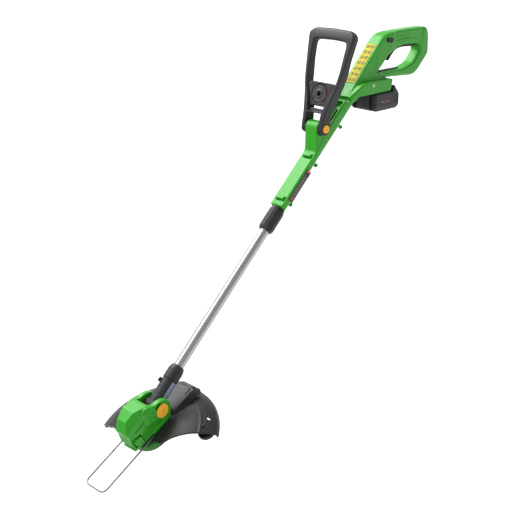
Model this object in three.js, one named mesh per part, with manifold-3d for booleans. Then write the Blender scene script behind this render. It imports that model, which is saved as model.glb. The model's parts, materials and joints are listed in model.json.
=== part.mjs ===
// A cordless string trimmer with a telescopic shaft, a fold-away front handle and a tilting head.
// Lengths are in millimetres and angles in degrees. +X runs up the shaft, from the cutting head to
// the rear handle, +Z points out of the shaft's front face and -Y is the tool's left-hand side.
// The part's origin is the middle of the rear grip. Everything is first laid out in the shaft's own
// frame, where X is the shaft's axis and x = 0 is the lower rim of the upper lock collar.
import * as THREE from "three";
import { mergeVertices } from "three/addons/utils/BufferGeometryUtils.js";
import Module from "manifold-3d";

const wasm = await Module();
wasm.setup();

// ---- driving dimensions ----
const GAP = 0.3; // between touching pieces
const RUN = 0.4; // radial clearance of a pin in its hole
const WALL = 3; // moulded walls

const TUBE_D = 22; // aluminium shaft tube
const TUBE_WALL = 1.2;
const TUBE_VISIBLE = 350; // bare tube between the collars
const TUBE_INSERT = 120; // hidden in the handle when drawn out
const SHAFT_STROKE = 200; // how far the tube can be pushed in
const LEAD_R = 3.2; // power lead in the tube

const COLLAR_R = 17.5; // upper twist-lock collar
const COLLAR_LEN = 58;
const NECK_R = 16; // head neck and its hub
const LOW_COLLAR_LEN = 34;
const NECK_LEN = 63; // lower collar to the tilt axis

const SPINE_HALF = 18; // half width of the handle's spine
const SPINE_FRONT = 14; // front face above the shaft's axis, lower stretch
const PEG_R = 4.2; // cable pegs on the spine's back
const PEG_REACH = 13;
const LOOP_HALF = 16; // half width of the rear handle's loop
const MOUNT_HALF = 34; // half width of the battery mount
const BARREL = { x: 257, z: 41, r: 16, half: 17 }; // front handle's hinge barrel
const BOLT_R = 4; // hinge bolts
const GRIP = { x: 604, z: -52 }; // middle of the rear grip: the part's origin

const BATTERY = { x: 383, z: 0, angle: 43, half: 37, from: 46, to: 136, depth: 43 };
const CELL_R = 9;
const CELL_LEN = 65;

const HANDLE_ANGLE = 32.3; // front handle above the shaft
const HANDLE = { length: 217, half: 65, arm: 10, washer: 2.4, deep: 12 };
const SPARE_R = 19.5; // spare line spool
const SPARE_U = 73; // its distance from the hinge

const HEAD_ANGLE = 14; // cutting plane to the shaft
const EAR_R = 24;
const EAR_OUT = 28.5;
const BUTTON_R = 15.5; // round tilt buttons
const BASE_Z = -33; // underside of the head's base
const BASE_THICK = 4.7;
const SPOOL_X = -38; // spool axis from the tilt axis
const SPOOL_R = 42;
const MOTOR_R = 18;
const GUARD_R = 144;
const GUARD_T = 2.7; // guard wall
const WIRE_R = 1.75;
const WIRE_HALF = 29.5; // spacing of the wire's legs from the middle
const WIRE_PIVOT = -45;
const WIRE_TIP = -199;
const LUG_R = 5; // swivel button in the neck
const LUG_PRESS = 3; // how far it is pushed in
const ROUND = 28; // sides of a full circle

// ---- materials ----
const paint = (color, roughness, metalness = 0) =>
  new THREE.MeshStandardMaterial({ color, roughness, metalness });
const GREEN = paint(0x3fae2a, 0.45);
const DARK = paint(0x34353a, 0.6);
const ORANGE = paint(0xf5a01d, 0.4);
const ALUMINIUM = paint(0xd9dadc, 0.3, 0.9);
const STEEL = paint(0xa8a9ac, 0.3, 0.9);
const YELLOW = paint(0xe6c829, 0.5);
const GREY = paint(0x55565a, 0.6);
const LINE = paint(0xd8481c, 0.5);
const COPPER = paint(0xb87333, 0.4, 0.9);

// ---- solids ----
// A closed three.js geometry as a manifold-3d solid with its faces pointing out.
function solid(geometry) {
  const g = geometry.clone();
  g.deleteAttribute("normal");
  g.deleteAttribute("uv");
  const merged = mergeVertices(g, 1e-4);
  const triVerts = new Uint32Array(merged.index.array);
  const vertProperties = merged.attributes.position.array;
  const made = new wasm.Manifold(new wasm.Mesh({ numProp: 3, vertProperties, triVerts }));
  if (made.volume() > 0) return made;
  for (let i = 0; i < triVerts.length; i += 3) {
    [triVerts[i + 1], triVerts[i + 2]] = [triVerts[i + 2], triVerts[i + 1]];
  }
  return new wasm.Manifold(new wasm.Mesh({ numProp: 3, vertProperties, triVerts }));
}

// A finished solid as a named mesh.
function piece(name, made, material) {
  const m = made.getMesh();
  const geometry = new THREE.BufferGeometry();
  geometry.setAttribute("position", new THREE.BufferAttribute(Float32Array.from(m.vertProperties), 3));
  geometry.setIndex(new THREE.BufferAttribute(Uint32Array.from(m.triVerts), 1));
  geometry.computeVertexNormals();
  const mesh = new THREE.Mesh(geometry, material);
  mesh.name = name;
  return mesh;
}

const union = (...parts) => parts.reduce((a, b) => a.add(b));
const cut = (from, ...tools) => tools.reduce((a, b) => a.subtract(b), from);

// A polygon whose points are [x, y] or [x, y, corner radius].
function outline(points) {
  const shape = new THREE.Shape();
  const n = points.length;
  points.forEach(([x, y, r = 0], i) => {
    const here = new THREE.Vector2(x, y);
    const before = new THREE.Vector2(...points[(i + n - 1) % n].slice(0, 2)).sub(here);
    const after = new THREE.Vector2(...points[(i + 1) % n].slice(0, 2)).sub(here);
    const reach = Math.min(r, before.length() / 2.1, after.length() / 2.1);
    const a = here.clone().addScaledVector(before.normalize(), reach);
    const b = here.clone().addScaledVector(after.normalize(), reach);
    if (i === 0) shape.moveTo(a.x, a.y);
    else shape.lineTo(a.x, a.y);
    if (reach > 0) shape.quadraticCurveTo(x, y, b.x, b.y);
  });
  shape.closePath();
  return shape;
}

const BASES = {
  X: new THREE.Matrix4().makeBasis(
    new THREE.Vector3(0, 1, 0), new THREE.Vector3(0, 0, 1), new THREE.Vector3(1, 0, 0)),
  Y: new THREE.Matrix4().makeBasis(
    new THREE.Vector3(1, 0, 0), new THREE.Vector3(0, 0, 1), new THREE.Vector3(0, -1, 0)),
  Z: new THREE.Matrix4(),
};

// A prism: outline points in (y, z) for X, (x, z) for Y or (x, y) for Z, from one level to another.
// A bevel keeps the outline's size at mid depth and slopes its two rims.
function prism(axis, points, from, to, bevel = 0) {
  const geometry = new THREE.ExtrudeGeometry(outline(points), {
    depth: to - from - 2 * bevel, curveSegments: 4, bevelEnabled: bevel > 0,
    bevelThickness: bevel, bevelSize: bevel, bevelOffset: -bevel, bevelSegments: 1,
  });
  geometry.applyMatrix4(BASES[axis]);
  const start = from + bevel;
  if (axis === "X") geometry.translate(start, 0, 0);
  if (axis === "Y") geometry.translate(0, to - bevel, 0);
  if (axis === "Z") geometry.translate(0, 0, start);
  return solid(geometry);
}

// A body of revolution about X, Y or Z through the given centre: profile points are [radius, height].
function turned(axis, profile, centre = [0, 0, 0], sides = ROUND) {
  const closed = profile.map(([r, h]) => new THREE.Vector2(r, h));
  closed.push(closed[0].clone());
  const geometry = new THREE.LatheGeometry(closed, sides);
  if (axis === "Z") geometry.rotateX(Math.PI / 2);
  if (axis === "X") geometry.rotateZ(-Math.PI / 2);
  geometry.translate(...centre);
  return solid(geometry);
}

const rod = (axis, r, from, to, centre = [0, 0, 0], sides = ROUND) =>
  turned(axis, [[0, from], [r, from], [r, to], [0, to]], centre, sides);
const ring = (axis, inner, outer, from, to, centre = [0, 0, 0], sides = ROUND) =>
  turned(axis, [[inner, from], [outer, from], [outer, to], [inner, to]], centre, sides);

function block(x0, x1, y0, y1, z0, z1) {
  const geometry = new THREE.BoxGeometry(x1 - x0, y1 - y0, z1 - z0);
  geometry.translate((x0 + x1) / 2, (y0 + y1) / 2, (z0 + z1) / 2);
  return solid(geometry);
}

// A solid laid out in a frame turned by an angle about Y at (x, z), moved into its parent's frame.
function placed(made, x, z, angle) {
  const m = new THREE.Matrix4().makeRotationY(THREE.MathUtils.degToRad(angle));
  m.setPosition(x, 0, z);
  return made.transform(m.elements);
}

function group(meshes, x = 0, z = 0, angle = 0) {
  const g = new THREE.Group();
  g.position.set(x, 0, z);
  g.rotation.y = THREE.MathUtils.degToRad(angle);
  g.add(...meshes);
  return g;
}

const mirrored = (points) => [
  ...points,
  ...points.slice().reverse().map(([x, y, r]) => [x, -y, r]),
];

// ---- places that several pieces share, in the shaft's frame ----
const TUBE_R = TUBE_D / 2;
const BORE_R = TUBE_R + GAP;
const SHELL_X = COLLAR_LEN + GAP + 2; // lower end of the handle's shells
const SPINE_BACK = -(BORE_R + WALL + 1.7); // back of the spine
const BORE_END = SHELL_X + TUBE_INSERT + SHAFT_STROKE - 55;
const TUBE_TOP = SHELL_X + TUBE_INSERT - 62;
const LOW_COLLAR_X = -TUBE_VISIBLE - LOW_COLLAR_LEN;
const TILT_X = LOW_COLLAR_X - NECK_LEN;
const LOCK = { x: 543, z: 7.5, length: 24.4, width: 9.4, angle: 49, rise: 3 };
const SCREWS = [[345, 3], [477, 18], [601, -32], [600, -124]];
const TRIGGER_PIN = { x: 614, z: -84 };

// ---- rear handle ----
const TRIGGER_SIDE = [
  [517, -35, 1], [519, -39, 1], [532, -38, 3], [552, -38, 8], [573, -52, 8], [606, -87, 3],
  [612, -90, 3], [620, -86, 3], [616, -78, 3], [584, -44, 3], [558, -26, 6], [545, -24, 4], [528, -29, 3],
];
const LOOP_HOLE = [
  [464, -19, 3], [514, -19, 8], [546, -29, 10], [573, -43, 8], [620, -90, 8], [613, -107, 10],
  [575, -110, 12], [539, -89, 6],
];

// An upright slab with round ends where the lock button is.
const oval = (long, wide, from, to) => placed(prism("Y", [
  [-long, -wide, wide], [long, -wide, wide], [long, wide, wide], [-long, wide, wide]], from, to),
  LOCK.x, LOCK.z, LOCK.angle);

function rearHandle() {
  const { x, z, r, half } = BARREL;
  const lean = THREE.MathUtils.degToRad(47); // slope of the bracket under the barrel
  const touch = [x - r * Math.sin(lean), z + r * Math.cos(lean)];
  const foot = touch[0] - (touch[1] - SPINE_FRONT) / Math.tan(lean);
  const spine = prism("Y", [
    [SHELL_X, SPINE_FRONT, 4], [foot, SPINE_FRONT], [x + r + 4, 22], [363, 23], [471, 29, 20], [533, 31, 14],
    [571, 6, 20], [548, -18, 4], [512, -18], [440, -30], [372, -14, 20], [355, SPINE_BACK],
    [181, SPINE_BACK], [176, SPINE_BACK - 3], [SHELL_X + 12, SPINE_BACK - 3, 5], [SHELL_X, SPINE_BACK + 4, 3],
  ], -SPINE_HALF, SPINE_HALF, 3);
  const notch = block(352, 361, -40, 40, 15, 40);
  const bracket = prism("Y", [[foot, SPINE_FRONT - 5], touch, [x, z], [x + r - 1, z], [x + r + 6, 18]],
    -half, half);
  const barrel = rod("Y", r, -half, half, [x, 0, z]);
  const loop = prism("Y", [
    [480, 10], [500, 24], [533, 31, 14], [571, 6, 20], [612, -31, 20], [668, -84, 12], [657, -106, 10],
    [632, -136, 10], [621, -138, 4], [573, -138, 8], [555, -131, 10], [485, -57, 4], [440, -10],
  ], -LOOP_HALF, LOOP_HALF, 5);
  const mount = placed(prism("Y", [
    [-24, -7, 6], [-2, 0, 12], [107, 0, 5], [113, 28, 5], [24, 30, 8], [-8, 24, 12],
  ], -MOUNT_HALF, MOUNT_HALF), BATTERY.x, BATTERY.z, BATTERY.angle);
  const pegs = [89, 200, 311].map((at, i) =>
    rod("Z", PEG_R, SPINE_BACK - PEG_REACH - i, SPINE_BACK + 4, [at, 0, 0], 14));
  const ribs = [79, 196].map((at) => block(at - 2.5, at + 2.5, -11, 11, SPINE_FRONT - 2, SPINE_FRONT + 4.5));
  const body = union(cut(spine, notch), bracket, barrel, loop, mount, ...pegs, ...ribs);

  const bay = prism("Y", [[372, -8], [370, 17], [470, 25], [529, 26, 6], [560, 6, 4], [548, -13], [420, -13]],
    -SPINE_HALF + WALL + 1, SPINE_HALF - WALL - 1);
  const duct = rod("X", 5, BORE_END - 3, 380, [0, 0, 0], 12);
  const gripBay = prism("Y", [[556, 4], [566, 3, 2], [612, -36], [640, -62], [624, -76], [590, -40], [566, -18]],
    -LOOP_HALF + WALL + 1, LOOP_HALF - WALL - 1);
  const pocket = prism("Y", [
    [506, -42], [508, -21], [545, -13, 4], [560, -13, 4], [588, -36], [626, -74], [630, -88], [616, -100],
  ], -8.5, 8.5);
  const railSlot = placed(block(44, 130, -27 - GAP, 27 + GAP, -12, 9.5), BATTERY.x, BATTERY.z, BATTERY.angle);
  const hole = prism("Y", LOOP_HOLE, -60, 60);
  const hollow = cut(body, hole, rod("X", BORE_R, 0, BORE_END), bay, duct, gripBay, pocket, railSlot,
    rod("Y", BOLT_R + RUN, -60, 60, [x, 0, z], 16),
    oval(LOCK.length / 2 + RUN, LOCK.width / 2 + RUN, -60, 60),
    rod("Y", 2 + RUN, -12, 12, [TRIGGER_PIN.x, 0, TRIGGER_PIN.z], 12),
    ...SCREWS.flatMap(([sx, sz]) => [
      rod("Y", 1.6 + GAP, -12, 30, [sx, 0, sz], 10), rod("Y", 3.2 + GAP, 12.5, 30, [sx, 0, sz], 14)]));
  const left = hollow.intersect(block(-50, 900, -60, -GAP / 2, -200, 90));
  const right = hollow.intersect(block(-50, 900, GAP / 2, 60, -200, 90));

  const trigger = cut(prism("Y", TRIGGER_SIDE, -8, 8),
    rod("Y", 2 + RUN, -20, 20, [TRIGGER_PIN.x, 0, TRIGGER_PIN.z], 12));
  const label = prism("Y", [[398, 25.3], [471, 29.4], [508, 30.45], [508, 31], [471, 30], [398, 25.9]], -12, 12);
  const rating = block(84, 168, -SPINE_HALF - 0.9, -SPINE_HALF - GAP, -7, 9);
  const strip = prism("Y", [[468, -21.4], [536, -84.8], [536.9, -83.8], [469, -20.4]], -5, 5);
  const bush = ring("X", BORE_R, BORE_R + 4, COLLAR_LEN - 3, COLLAR_LEN + 1.8);
  const screws = SCREWS.map(([sx, sz], i) => piece("shell_screw_" + (i + 1), union(
    rod("Y", 3.2, 13, 14.8, [sx, 0, sz], 14), rod("Y", 1.6, -11, 13, [sx, 0, sz], 10)), STEEL));
  return [
    piece("handle_shell_left", left, GREEN),
    piece("handle_shell_right", right, GREEN),
    piece("trigger", trigger, DARK),
    piece("trigger_pin", rod("Y", 2, -11.5, 11.5, [TRIGGER_PIN.x, 0, TRIGGER_PIN.z], 12), STEEL),
    piece("lock_button", oval(LOCK.length / 2, LOCK.width / 2, -SPINE_HALF - LOCK.rise, SPINE_HALF - GAP), DARK),
    piece("switch_box", block(498, 526, -9, 9, -11, 9), DARK),
    piece("control_board", block(385, 455, -12, 12, 2, 4), COPPER),
    piece("terminal_block", placed(block(45, 58, -18, 18, -0.9, 9.2), BATTERY.x, BATTERY.z, BATTERY.angle), DARK),
    piece("pictogram_label", label, YELLOW),
    piece("rating_label", rating, DARK),
    piece("loop_strip", strip, DARK),
    piece("shaft_bush", bush, DARK),
    piece("front_hinge_bolt", rod("Y", BOLT_R, -23, 23, [x, 0, z], 16), STEEL),
    ...screws,
  ];
}

// ---- battery, laid out along its slide ----
function battery() {
  const { half, from, to, depth } = BATTERY;
  const seam = -22;
  const lowerBody = prism("Y", [
    [from, seam], [from, -depth + 5, 4], [from + 6, -depth, 4], [to - 5, -depth, 4], [to, -depth + 6, 4], [to, seam],
  ], -half, half).intersect(prism("X", [
    [-half, 0], [-half, -depth + 6], [-half + 5, -depth], [half - 5, -depth], [half, -depth + 6], [half, 0],
  ], from - 9, to + 9));
  const upperBody = prism("Y", [
    [from, seam + GAP], [to, seam + GAP], [to, -9, 3], [118, 12.5, 3], [114, 12.5], [114, -1.3], [from + 3, -1.3, 4],
  ], -half, half);
  const rails = block(60, 115, -27, 27, -3, 9);
  const low = -depth + WALL + 0.5 + CELL_R;
  const pitch = 2 * CELL_R + 0.2;
  const cells = [[0, 0], [1, 0], [2, 0], [0.5, 1], [1.5, 1]].map(([along, row]) => rod("Y", CELL_R,
    -CELL_LEN / 2, CELL_LEN / 2, [from + 27 + along * pitch, 0, low + row * pitch * 0.86], 16));
  const straps = [-1, 1].map((side) => block(from + 22, from + 68, side * CELL_LEN / 2 - 0.4,
    side * CELL_LEN / 2 + 0.4, low - 3, low + pitch));
  const cavity = block(from + 9, to - 9, -half + 2.5, half - 2.5, -depth + WALL, -5);
  const latchSlot = block(to - 6, to + 5, -14 - GAP, 14 + GAP, -19 - GAP, -12 + GAP);
  return [
    piece("battery_case_lower", cut(lowerBody, cavity), DARK),
    piece("battery_case_upper", cut(union(upperBody, rails), cavity, latchSlot,
      block(50, 80, -22, 22, 0, 20)), DARK),
    piece("cell_pack", union(...cells, ...straps), GREEN),
    piece("battery_latch", block(to - 2, to + 3, -14, 14, -19, -12), DARK),
  ];
}

// ---- front handle, laid out along its arms ----
function frontHandle() {
  const { length, half, arm, washer, deep } = HANDLE;
  const inner = BARREL.half + washer + 2 * GAP; // arms' inner faces at the hinge
  const outer = inner + arm;
  const R = BARREL.r + 1;
  const outside = [[-R, outer], [24, outer], [64, outer + 9, 12], [105, outer + 21, 20],
    [length - 9, half, 8], [length - 2, half - 12, 8], [length + 5, 0, 60]];
  const inside = [[length - 19.5, 0, 60], [length - 23, half - 19, 7], [123, 44, 20], [96, 41, 12], [33, inner],
    [-R - 5, inner]];
  const plan = prism("Z", [
    ...outside, ...outside.slice(0, -1).reverse().map(([x, y, r]) => [x, -y, r]),
    ...inside.slice().reverse().map(([x, y, r]) => [x, -y, r]), ...inside.slice(1),
  ], -40, 40);
  const side = union(rod("Y", R, -90, 90), prism("Y", [
    [0, R], [35, 18, 20], [100, deep + 0.5, 30], [length - 6, 10, 6], [length + 6, 0, 6], [length - 6, -9, 6],
    [150, -9, 20], [120, -deep - 1, 20], [60, -deep, 20], [30, -8, 20], [0, -R + 4],
  ], -90, 90));
  const frame = plan.intersect(side);
  const crossbar = prism("Z", mirrored([[31, inner + 1], [41, inner + 4.5]]), -7, 9);
  const loop = cut(union(frame, crossbar), rod("Y", BOLT_R + RUN, -60, 60, [0, 0, 0], 16),
    rod("Y", 10.5, 23.8, 60, [0, 0, 0], 16), rod("Y", 10.5, -60, -23.8, [0, 0, 0], 16));
  const holder = cut(prism("Z", mirrored([[46, 23.4], [93, 38.6, 3], [99, 30, 3]]), -13, 10.5),
    rod("Z", SPARE_R + 2, -9.5, 20, [SPARE_U, 0, 0]), rod("Z", 4, -30, 20, [SPARE_U, 0, 0], 14));
  const spool = turned("Z", [[5, -9], [SPARE_R, -9], [SPARE_R, -7], [10, -7], [10, 9], [SPARE_R, 9], [SPARE_R, 11],
    [9, 11], [7.5, 12.5], [5, 12.5]], [SPARE_U, 0, 0]);
  const line = ring("Z", 10 + GAP, 17, -6.5, 8.5, [SPARE_U, 0, 0], 24);
  const teeth = (from) => union(
    ring("Y", BOLT_R + RUN, BARREL.r - 1, from, from + washer),
    ...Array.from({ length: 12 }, (_, i) => {
      const a = (i / 12) * 2 * Math.PI;
      return rod("Y", 2.2, from, from + washer, [(R - 2) * Math.cos(a), 0, (R - 2) * Math.sin(a)], 8);
    }));
  const octagon = (from, to) => rod("Y", 9.5, from, to, [0, 0, 0], 8);
  return [
    piece("front_handle_loop", loop, DARK),
    piece("spool_holder", holder, GREY),
    piece("spare_spool", spool, GREY),
    piece("spare_line", line, LINE),
    piece("hinge_washer_left", teeth(-BARREL.half - GAP - washer), DARK),
    piece("hinge_washer_right", teeth(BARREL.half + GAP), DARK),
    piece("fold_button_left", octagon(-outer - 3, -outer + 2), ORANGE),
    piece("fold_button_right", octagon(outer - 2, outer + 3), ORANGE),
  ];
}

// ---- shaft, collars and neck ----
// The swivel button leans halfway between the front and the right-hand side.
const leaning = (made) => made.rotate([-45, 0, 0]);

function shaft() {
  const collar = turned("X", [
    [BORE_R, 0], [COLLAR_R - 3, 0], [COLLAR_R - 1, 4], [COLLAR_R, 6], [COLLAR_R, COLLAR_LEN - 4 - GAP],
    [COLLAR_R - 1.5, COLLAR_LEN - 3 - GAP], [BORE_R, COLLAR_LEN - 3 - GAP],
  ], [0, 0, 0], 16);
  const tube = ring("X", TUBE_R - TUBE_WALL, TUBE_R, LOW_COLLAR_X + 10, TUBE_TOP);
  const lowCollar = turned("X", [
    [TUBE_R + GAP, LOW_COLLAR_X], [NECK_R + 1, LOW_COLLAR_X], [NECK_R + 1, -TUBE_VISIBLE - 9],
    [NECK_R - 2, -TUBE_VISIBLE], [TUBE_R + GAP, -TUBE_VISIBLE],
  ], [0, 0, 0], 24);
  const lead = rod("X", LEAD_R, LOW_COLLAR_X + 11, TUBE_TOP - 2, [0, 0, 0], 8);
  const neckTop = LOW_COLLAR_X - GAP;
  const neck = cut(union(
    rod("X", NECK_R, TILT_X, neckTop, [0, 0, 0], 24),
    rod("X", TUBE_R - TUBE_WALL - GAP - 0.3, neckTop - 1, LOW_COLLAR_X + 8, [0, 0, 0], 16),
    rod("Y", NECK_R, -16.6, 16.6, [TILT_X, 0, 0], 24),
  ), rod("Y", BOLT_R + RUN, -40, 40, [TILT_X, 0, 0], 16),
    rod("X", LEAD_R + 1, TILT_X + 8, 0, [0, 0, 0], 10), placed(block(-30, 22, -5, 5, -3.5, 3.5), TILT_X + 10, -13, 0),
    leaning(rod("Z", LUG_R + GAP, 8, 30, [0, 0, 0], 14)).translate([neckTop - 9, 0, 0]));
  const lug = leaning(rod("Z", LUG_R, 8 + GAP + LUG_PRESS, NECK_R + 6, [0, 0, 0], 14)).translate([neckTop - 9, 0, 0]);
  return [
    piece("shaft_tube", tube, ALUMINIUM),
    piece("power_lead", lead, DARK),
    piece("lower_collar", lowCollar, DARK),
    piece("lock_collar", collar, DARK),
    piece("neck", neck, DARK),
    piece("swivel_button", lug, DARK),
  ];
}

// ---- cutting head, laid out from its tilt axis: -X is forward in the cutting plane ----
function head() {
  const floor = BASE_Z + BASE_THICK + GAP;
  const profile = prism("Y", [
    [-8, floor], [-8, 24, 6], [-18, 35, 8], [-48, 47, 8], [-76, 40, 4], [-90, 17, 4], [-93, -18, 4], [-89, floor],
  ], -40, 40);
  const plan = prism("Z", mirrored([[20, 27], [-50, 27, 8], [-94, 19, 3]]), -60, 60);
  const front = prism("X", [[-27, floor], [27, floor], [27, 12, 4], [15, 49, 4], [-15, 49, 4], [-27, 12, 4]], -120, 40);
  const ear = (from, to) => union(rod("Y", EAR_R, from, to),
    prism("Y", [[-40, floor], [10, floor, 2], [23, -7], [0, 0], [-8, 23], [-40, 30]], from, to));
  const slotHalf = NECK_R + 1.2;
  const shell = cut(union(profile.intersect(plan).intersect(front), ear(-EAR_OUT, -slotHalf), ear(slotHalf, EAR_OUT)),
    block(-NECK_R - 1.2, 60, -slotHalf, slotHalf, -3, 80), rod("Y", NECK_R + 1, -slotHalf, slotHalf),
    rod("Y", BOLT_R + GAP, -21, 21, [0, 0, 0], 16),
    ...[-1, 1].map((side) => rod("Y", BUTTON_R + 0.5, Math.min(side * 20.5, side * 40),
      Math.max(side * 20.5, side * 40))),
    rod("Z", MOTOR_R + 1, -60, 36, [SPOOL_X, 0, 0]),
    block(-88, SPOOL_X, -12, 12, -60, 8),
    block(-87, -65, -40, -14, -25, -3));
  const base = cut(prism("Z", mirrored([[10, 27, 3], [-41, 27.2, 2], [-45, 24.5, 2], [-93, 18, 3]]),
    BASE_Z, BASE_Z + BASE_THICK), rod("Z", 9, -60, 0, [SPOOL_X, 0, 0], 20),
    ...[-1, 1].map((side) => rod("Y", WIRE_R + RUN, side * 24.5 - 4.5, side * 24.5 + 4.5,
      [WIRE_PIVOT, 0, BASE_Z + BASE_THICK / 2], 12)));
  const motor = turned("Z", [[0, -24], [6, -24], [6, -22], [MOTOR_R, -22], [MOTOR_R, 31], [14, 34.5], [0, 34.5]],
    [SPOOL_X, 0, 0], 24);
  const button = (from, to) => turned("Y", [[1.8, from], [BUTTON_R, from], [BUTTON_R, to], [1.8, to]]);
  return {
    head: [
      piece("head_shell", shell, GREEN),
      piece("head_base", base, GREEN),
      piece("motor", motor, STEEL),
      piece("tilt_pin", rod("Y", BOLT_R, -20, 20, [0, 0, 0], 16), STEEL),
      piece("tilt_button_left", button(-EAR_OUT - 1.3, -25), ORANGE),
      piece("tilt_button_right", button(25, EAR_OUT + 1.3), ORANGE),
      piece("release_catch", block(-86, -66, -26, -18, -24, -4), GREEN),
      wireGuard(),
    ],
    spool: spool(),
    guard: guard(),
  };
}

// The spool's pieces turn with the motor shaft. The reel and its knob also slide when bumped.
function spool() {
  const at = [SPOOL_X, 0, 0];
  const top = BASE_Z - GUARD_T - 2;
  const cover = turned("Z", [
    [2.9, top], [SPOOL_R - 1.5, top], [SPOOL_R, top - 2], [SPOOL_R, top - 15], [SPOOL_R - 4, top - 21], [20, top - 21],
    [20, top - 18.5], [SPOOL_R - 5.5, top - 18.5], [SPOOL_R - 2.5, top - 14], [SPOOL_R - 2.5, top - 2.5],
    [2.9, top - 2.5],
  ], at, 32);
  const shaftRod = rod("Z", 2.5, top - 8, -24.4, at, 12);
  const flange = SPOOL_R - 6;
  const reel = turned("Z", [
    [3.2, top - 13.5], [12, top - 13.5], [12, top - 7], [flange, top - 7], [flange, top - 8.3], [16, top - 8.3],
    [16, top - 16.7], [flange, top - 16.7], [flange, top - 18], [3.2, top - 18],
  ], at, 28);
  const knob = turned("Z", [[0, top - 18.3], [19, top - 18.3], [19, top - 24], [15, top - 29], [8, top - 30.5],
    [0, top - 30.5]], at, 24);
  return [
    piece("drive_shaft", shaftRod, STEEL),
    piece("spool_cover", cover, GREEN),
    piece("line_reel", reel, DARK),
    piece("cutting_line", ring("Z", 16.3, flange - 2, top - 16.4, top - 8.6, at, 28), LINE),
    piece("bump_knob", knob, DARK),
  ];
}

// The wheel and the cutter keep their distance from the rim along a line from the spool's axis.
const WHEEL_REACH = GUARD_R - 26.6;
const WHEEL = { x: SPOOL_X + 0.5877 * WHEEL_REACH, y: -0.8092 * WHEEL_REACH, r: 19, top: -66.5, thick: 8 };
const CUTTER_REACH = GUARD_R - 17.2;
const CUTTER = { x: SPOOL_X + 0.4574 * CUTTER_REACH, y: 0.8892 * CUTTER_REACH, long: 16, wide: 21.5 };
const flare = [[14, 0], [52, 0], [GUARD_R - 64, 4], [GUARD_R - 39, 11], [GUARD_R - 16, 22], [GUARD_R - 2, 34],
  [GUARD_R, 43]];

// The guard flares from a flat plate down to its rim. It is cut off straight on the right-hand side of
// the head and along a slant on the left-hand side.
function guard() {
  const top = BASE_Z - GAP;
  const upper = flare.map(([r, drop]) => [r, top - drop]);
  const lower = [[GUARD_R - GUARD_T, top - 43], [GUARD_R - GUARD_T - 1.6, top - 35.5], [GUARD_R - 18, top - 24.6],
    [GUARD_R - 40.5, top - 13.8], [GUARD_R - 65, top - 6.8], [51, top - GUARD_T], [14, top - GUARD_T]];
  const skirt = turned("Z", [...upper, ...lower], [SPOOL_X, 0, 0], 48);
  const tongue = prism("Y", [[16, top], [24, top + 3], [GUARD_R - 58, top + 3, 3],
    [GUARD_R - 44, top - 12, 3], [GUARD_R - 48, top - 23], [GUARD_R - 78, top - 12], [40, top - 5], [16, top - 1]], -26, 26);
  const keep = prism("Z", [[-66, 200], [200, 200], [200, -200], [105, -200], [23, -112], [-8, -80],
    [-31, -63], [-52, -55], [-55, -26], [-66, -22]], -120, 0);
  const body = union(skirt, cut(tongue, rod("Z", 30, -90, 0, [SPOOL_X + 10, 0, 0], 20))).intersect(keep);
  const pinTop = top - 12;
  const stud = rod("Z", 3, WHEEL.top - WHEEL.thick - 2, pinTop, [WHEEL.x, WHEEL.y, 0], 12);
  const made = union(body, stud);
  const wheel = ring("Z", 3 + RUN, WHEEL.r, WHEEL.top - WHEEL.thick, WHEEL.top, [WHEEL.x, WHEEL.y, 0], 24);
  const cutter = block(CUTTER.x - CUTTER.long / 2, CUTTER.x + CUTTER.long / 2,
    CUTTER.y - CUTTER.wide / 2, CUTTER.y + CUTTER.wide / 2, top - 42, top - 40.5);
  return [
    piece("guard", made, DARK),
    piece("edge_wheel", wheel, DARK),
    piece("line_cutter", cutter, STEEL),
  ];
}

// A bent steel wire that keeps plants off the line. Its two ends turn in the head's base.
function wireGuard() {
  const z = BASE_Z + BASE_THICK / 2;
  const corner = 11;
  const knee = 3;
  const path = new THREE.CurvePath();
  const at = (x, y) => new THREE.Vector3(x, y, z);
  const line = (a, b) => path.add(new THREE.LineCurve3(at(...a), at(...b)));
  const bend = (a, b, c) => path.add(new THREE.QuadraticBezierCurve3(at(...a), at(...b), at(...c)));
  line([WIRE_PIVOT, -21], [WIRE_PIVOT, -WIRE_HALF + knee]);
  bend([WIRE_PIVOT, -WIRE_HALF + knee], [WIRE_PIVOT, -WIRE_HALF], [WIRE_PIVOT - knee, -WIRE_HALF]);
  line([WIRE_PIVOT - knee, -WIRE_HALF], [WIRE_TIP + corner, -WIRE_HALF]);
  bend([WIRE_TIP + corner, -WIRE_HALF], [WIRE_TIP, -WIRE_HALF], [WIRE_TIP, -WIRE_HALF + corner]);
  line([WIRE_TIP, -WIRE_HALF + corner], [WIRE_TIP, WIRE_HALF - corner]);
  bend([WIRE_TIP, WIRE_HALF - corner], [WIRE_TIP, WIRE_HALF], [WIRE_TIP + corner, WIRE_HALF]);
  line([WIRE_TIP + corner, WIRE_HALF], [WIRE_PIVOT - knee, WIRE_HALF]);
  bend([WIRE_PIVOT - knee, WIRE_HALF], [WIRE_PIVOT, WIRE_HALF], [WIRE_PIVOT, WIRE_HALF - knee]);
  line([WIRE_PIVOT, WIRE_HALF - knee], [WIRE_PIVOT, 21]);
  const section = new THREE.Shape().absarc(0, 0, WIRE_R, 0, 2 * Math.PI);
  const geometry = new THREE.ExtrudeGeometry(section, { steps: 70, curveSegments: 4, bevelEnabled: false,
    extrudePath: path });
  return piece("wire_guard", solid(geometry), STEEL);
}

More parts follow.
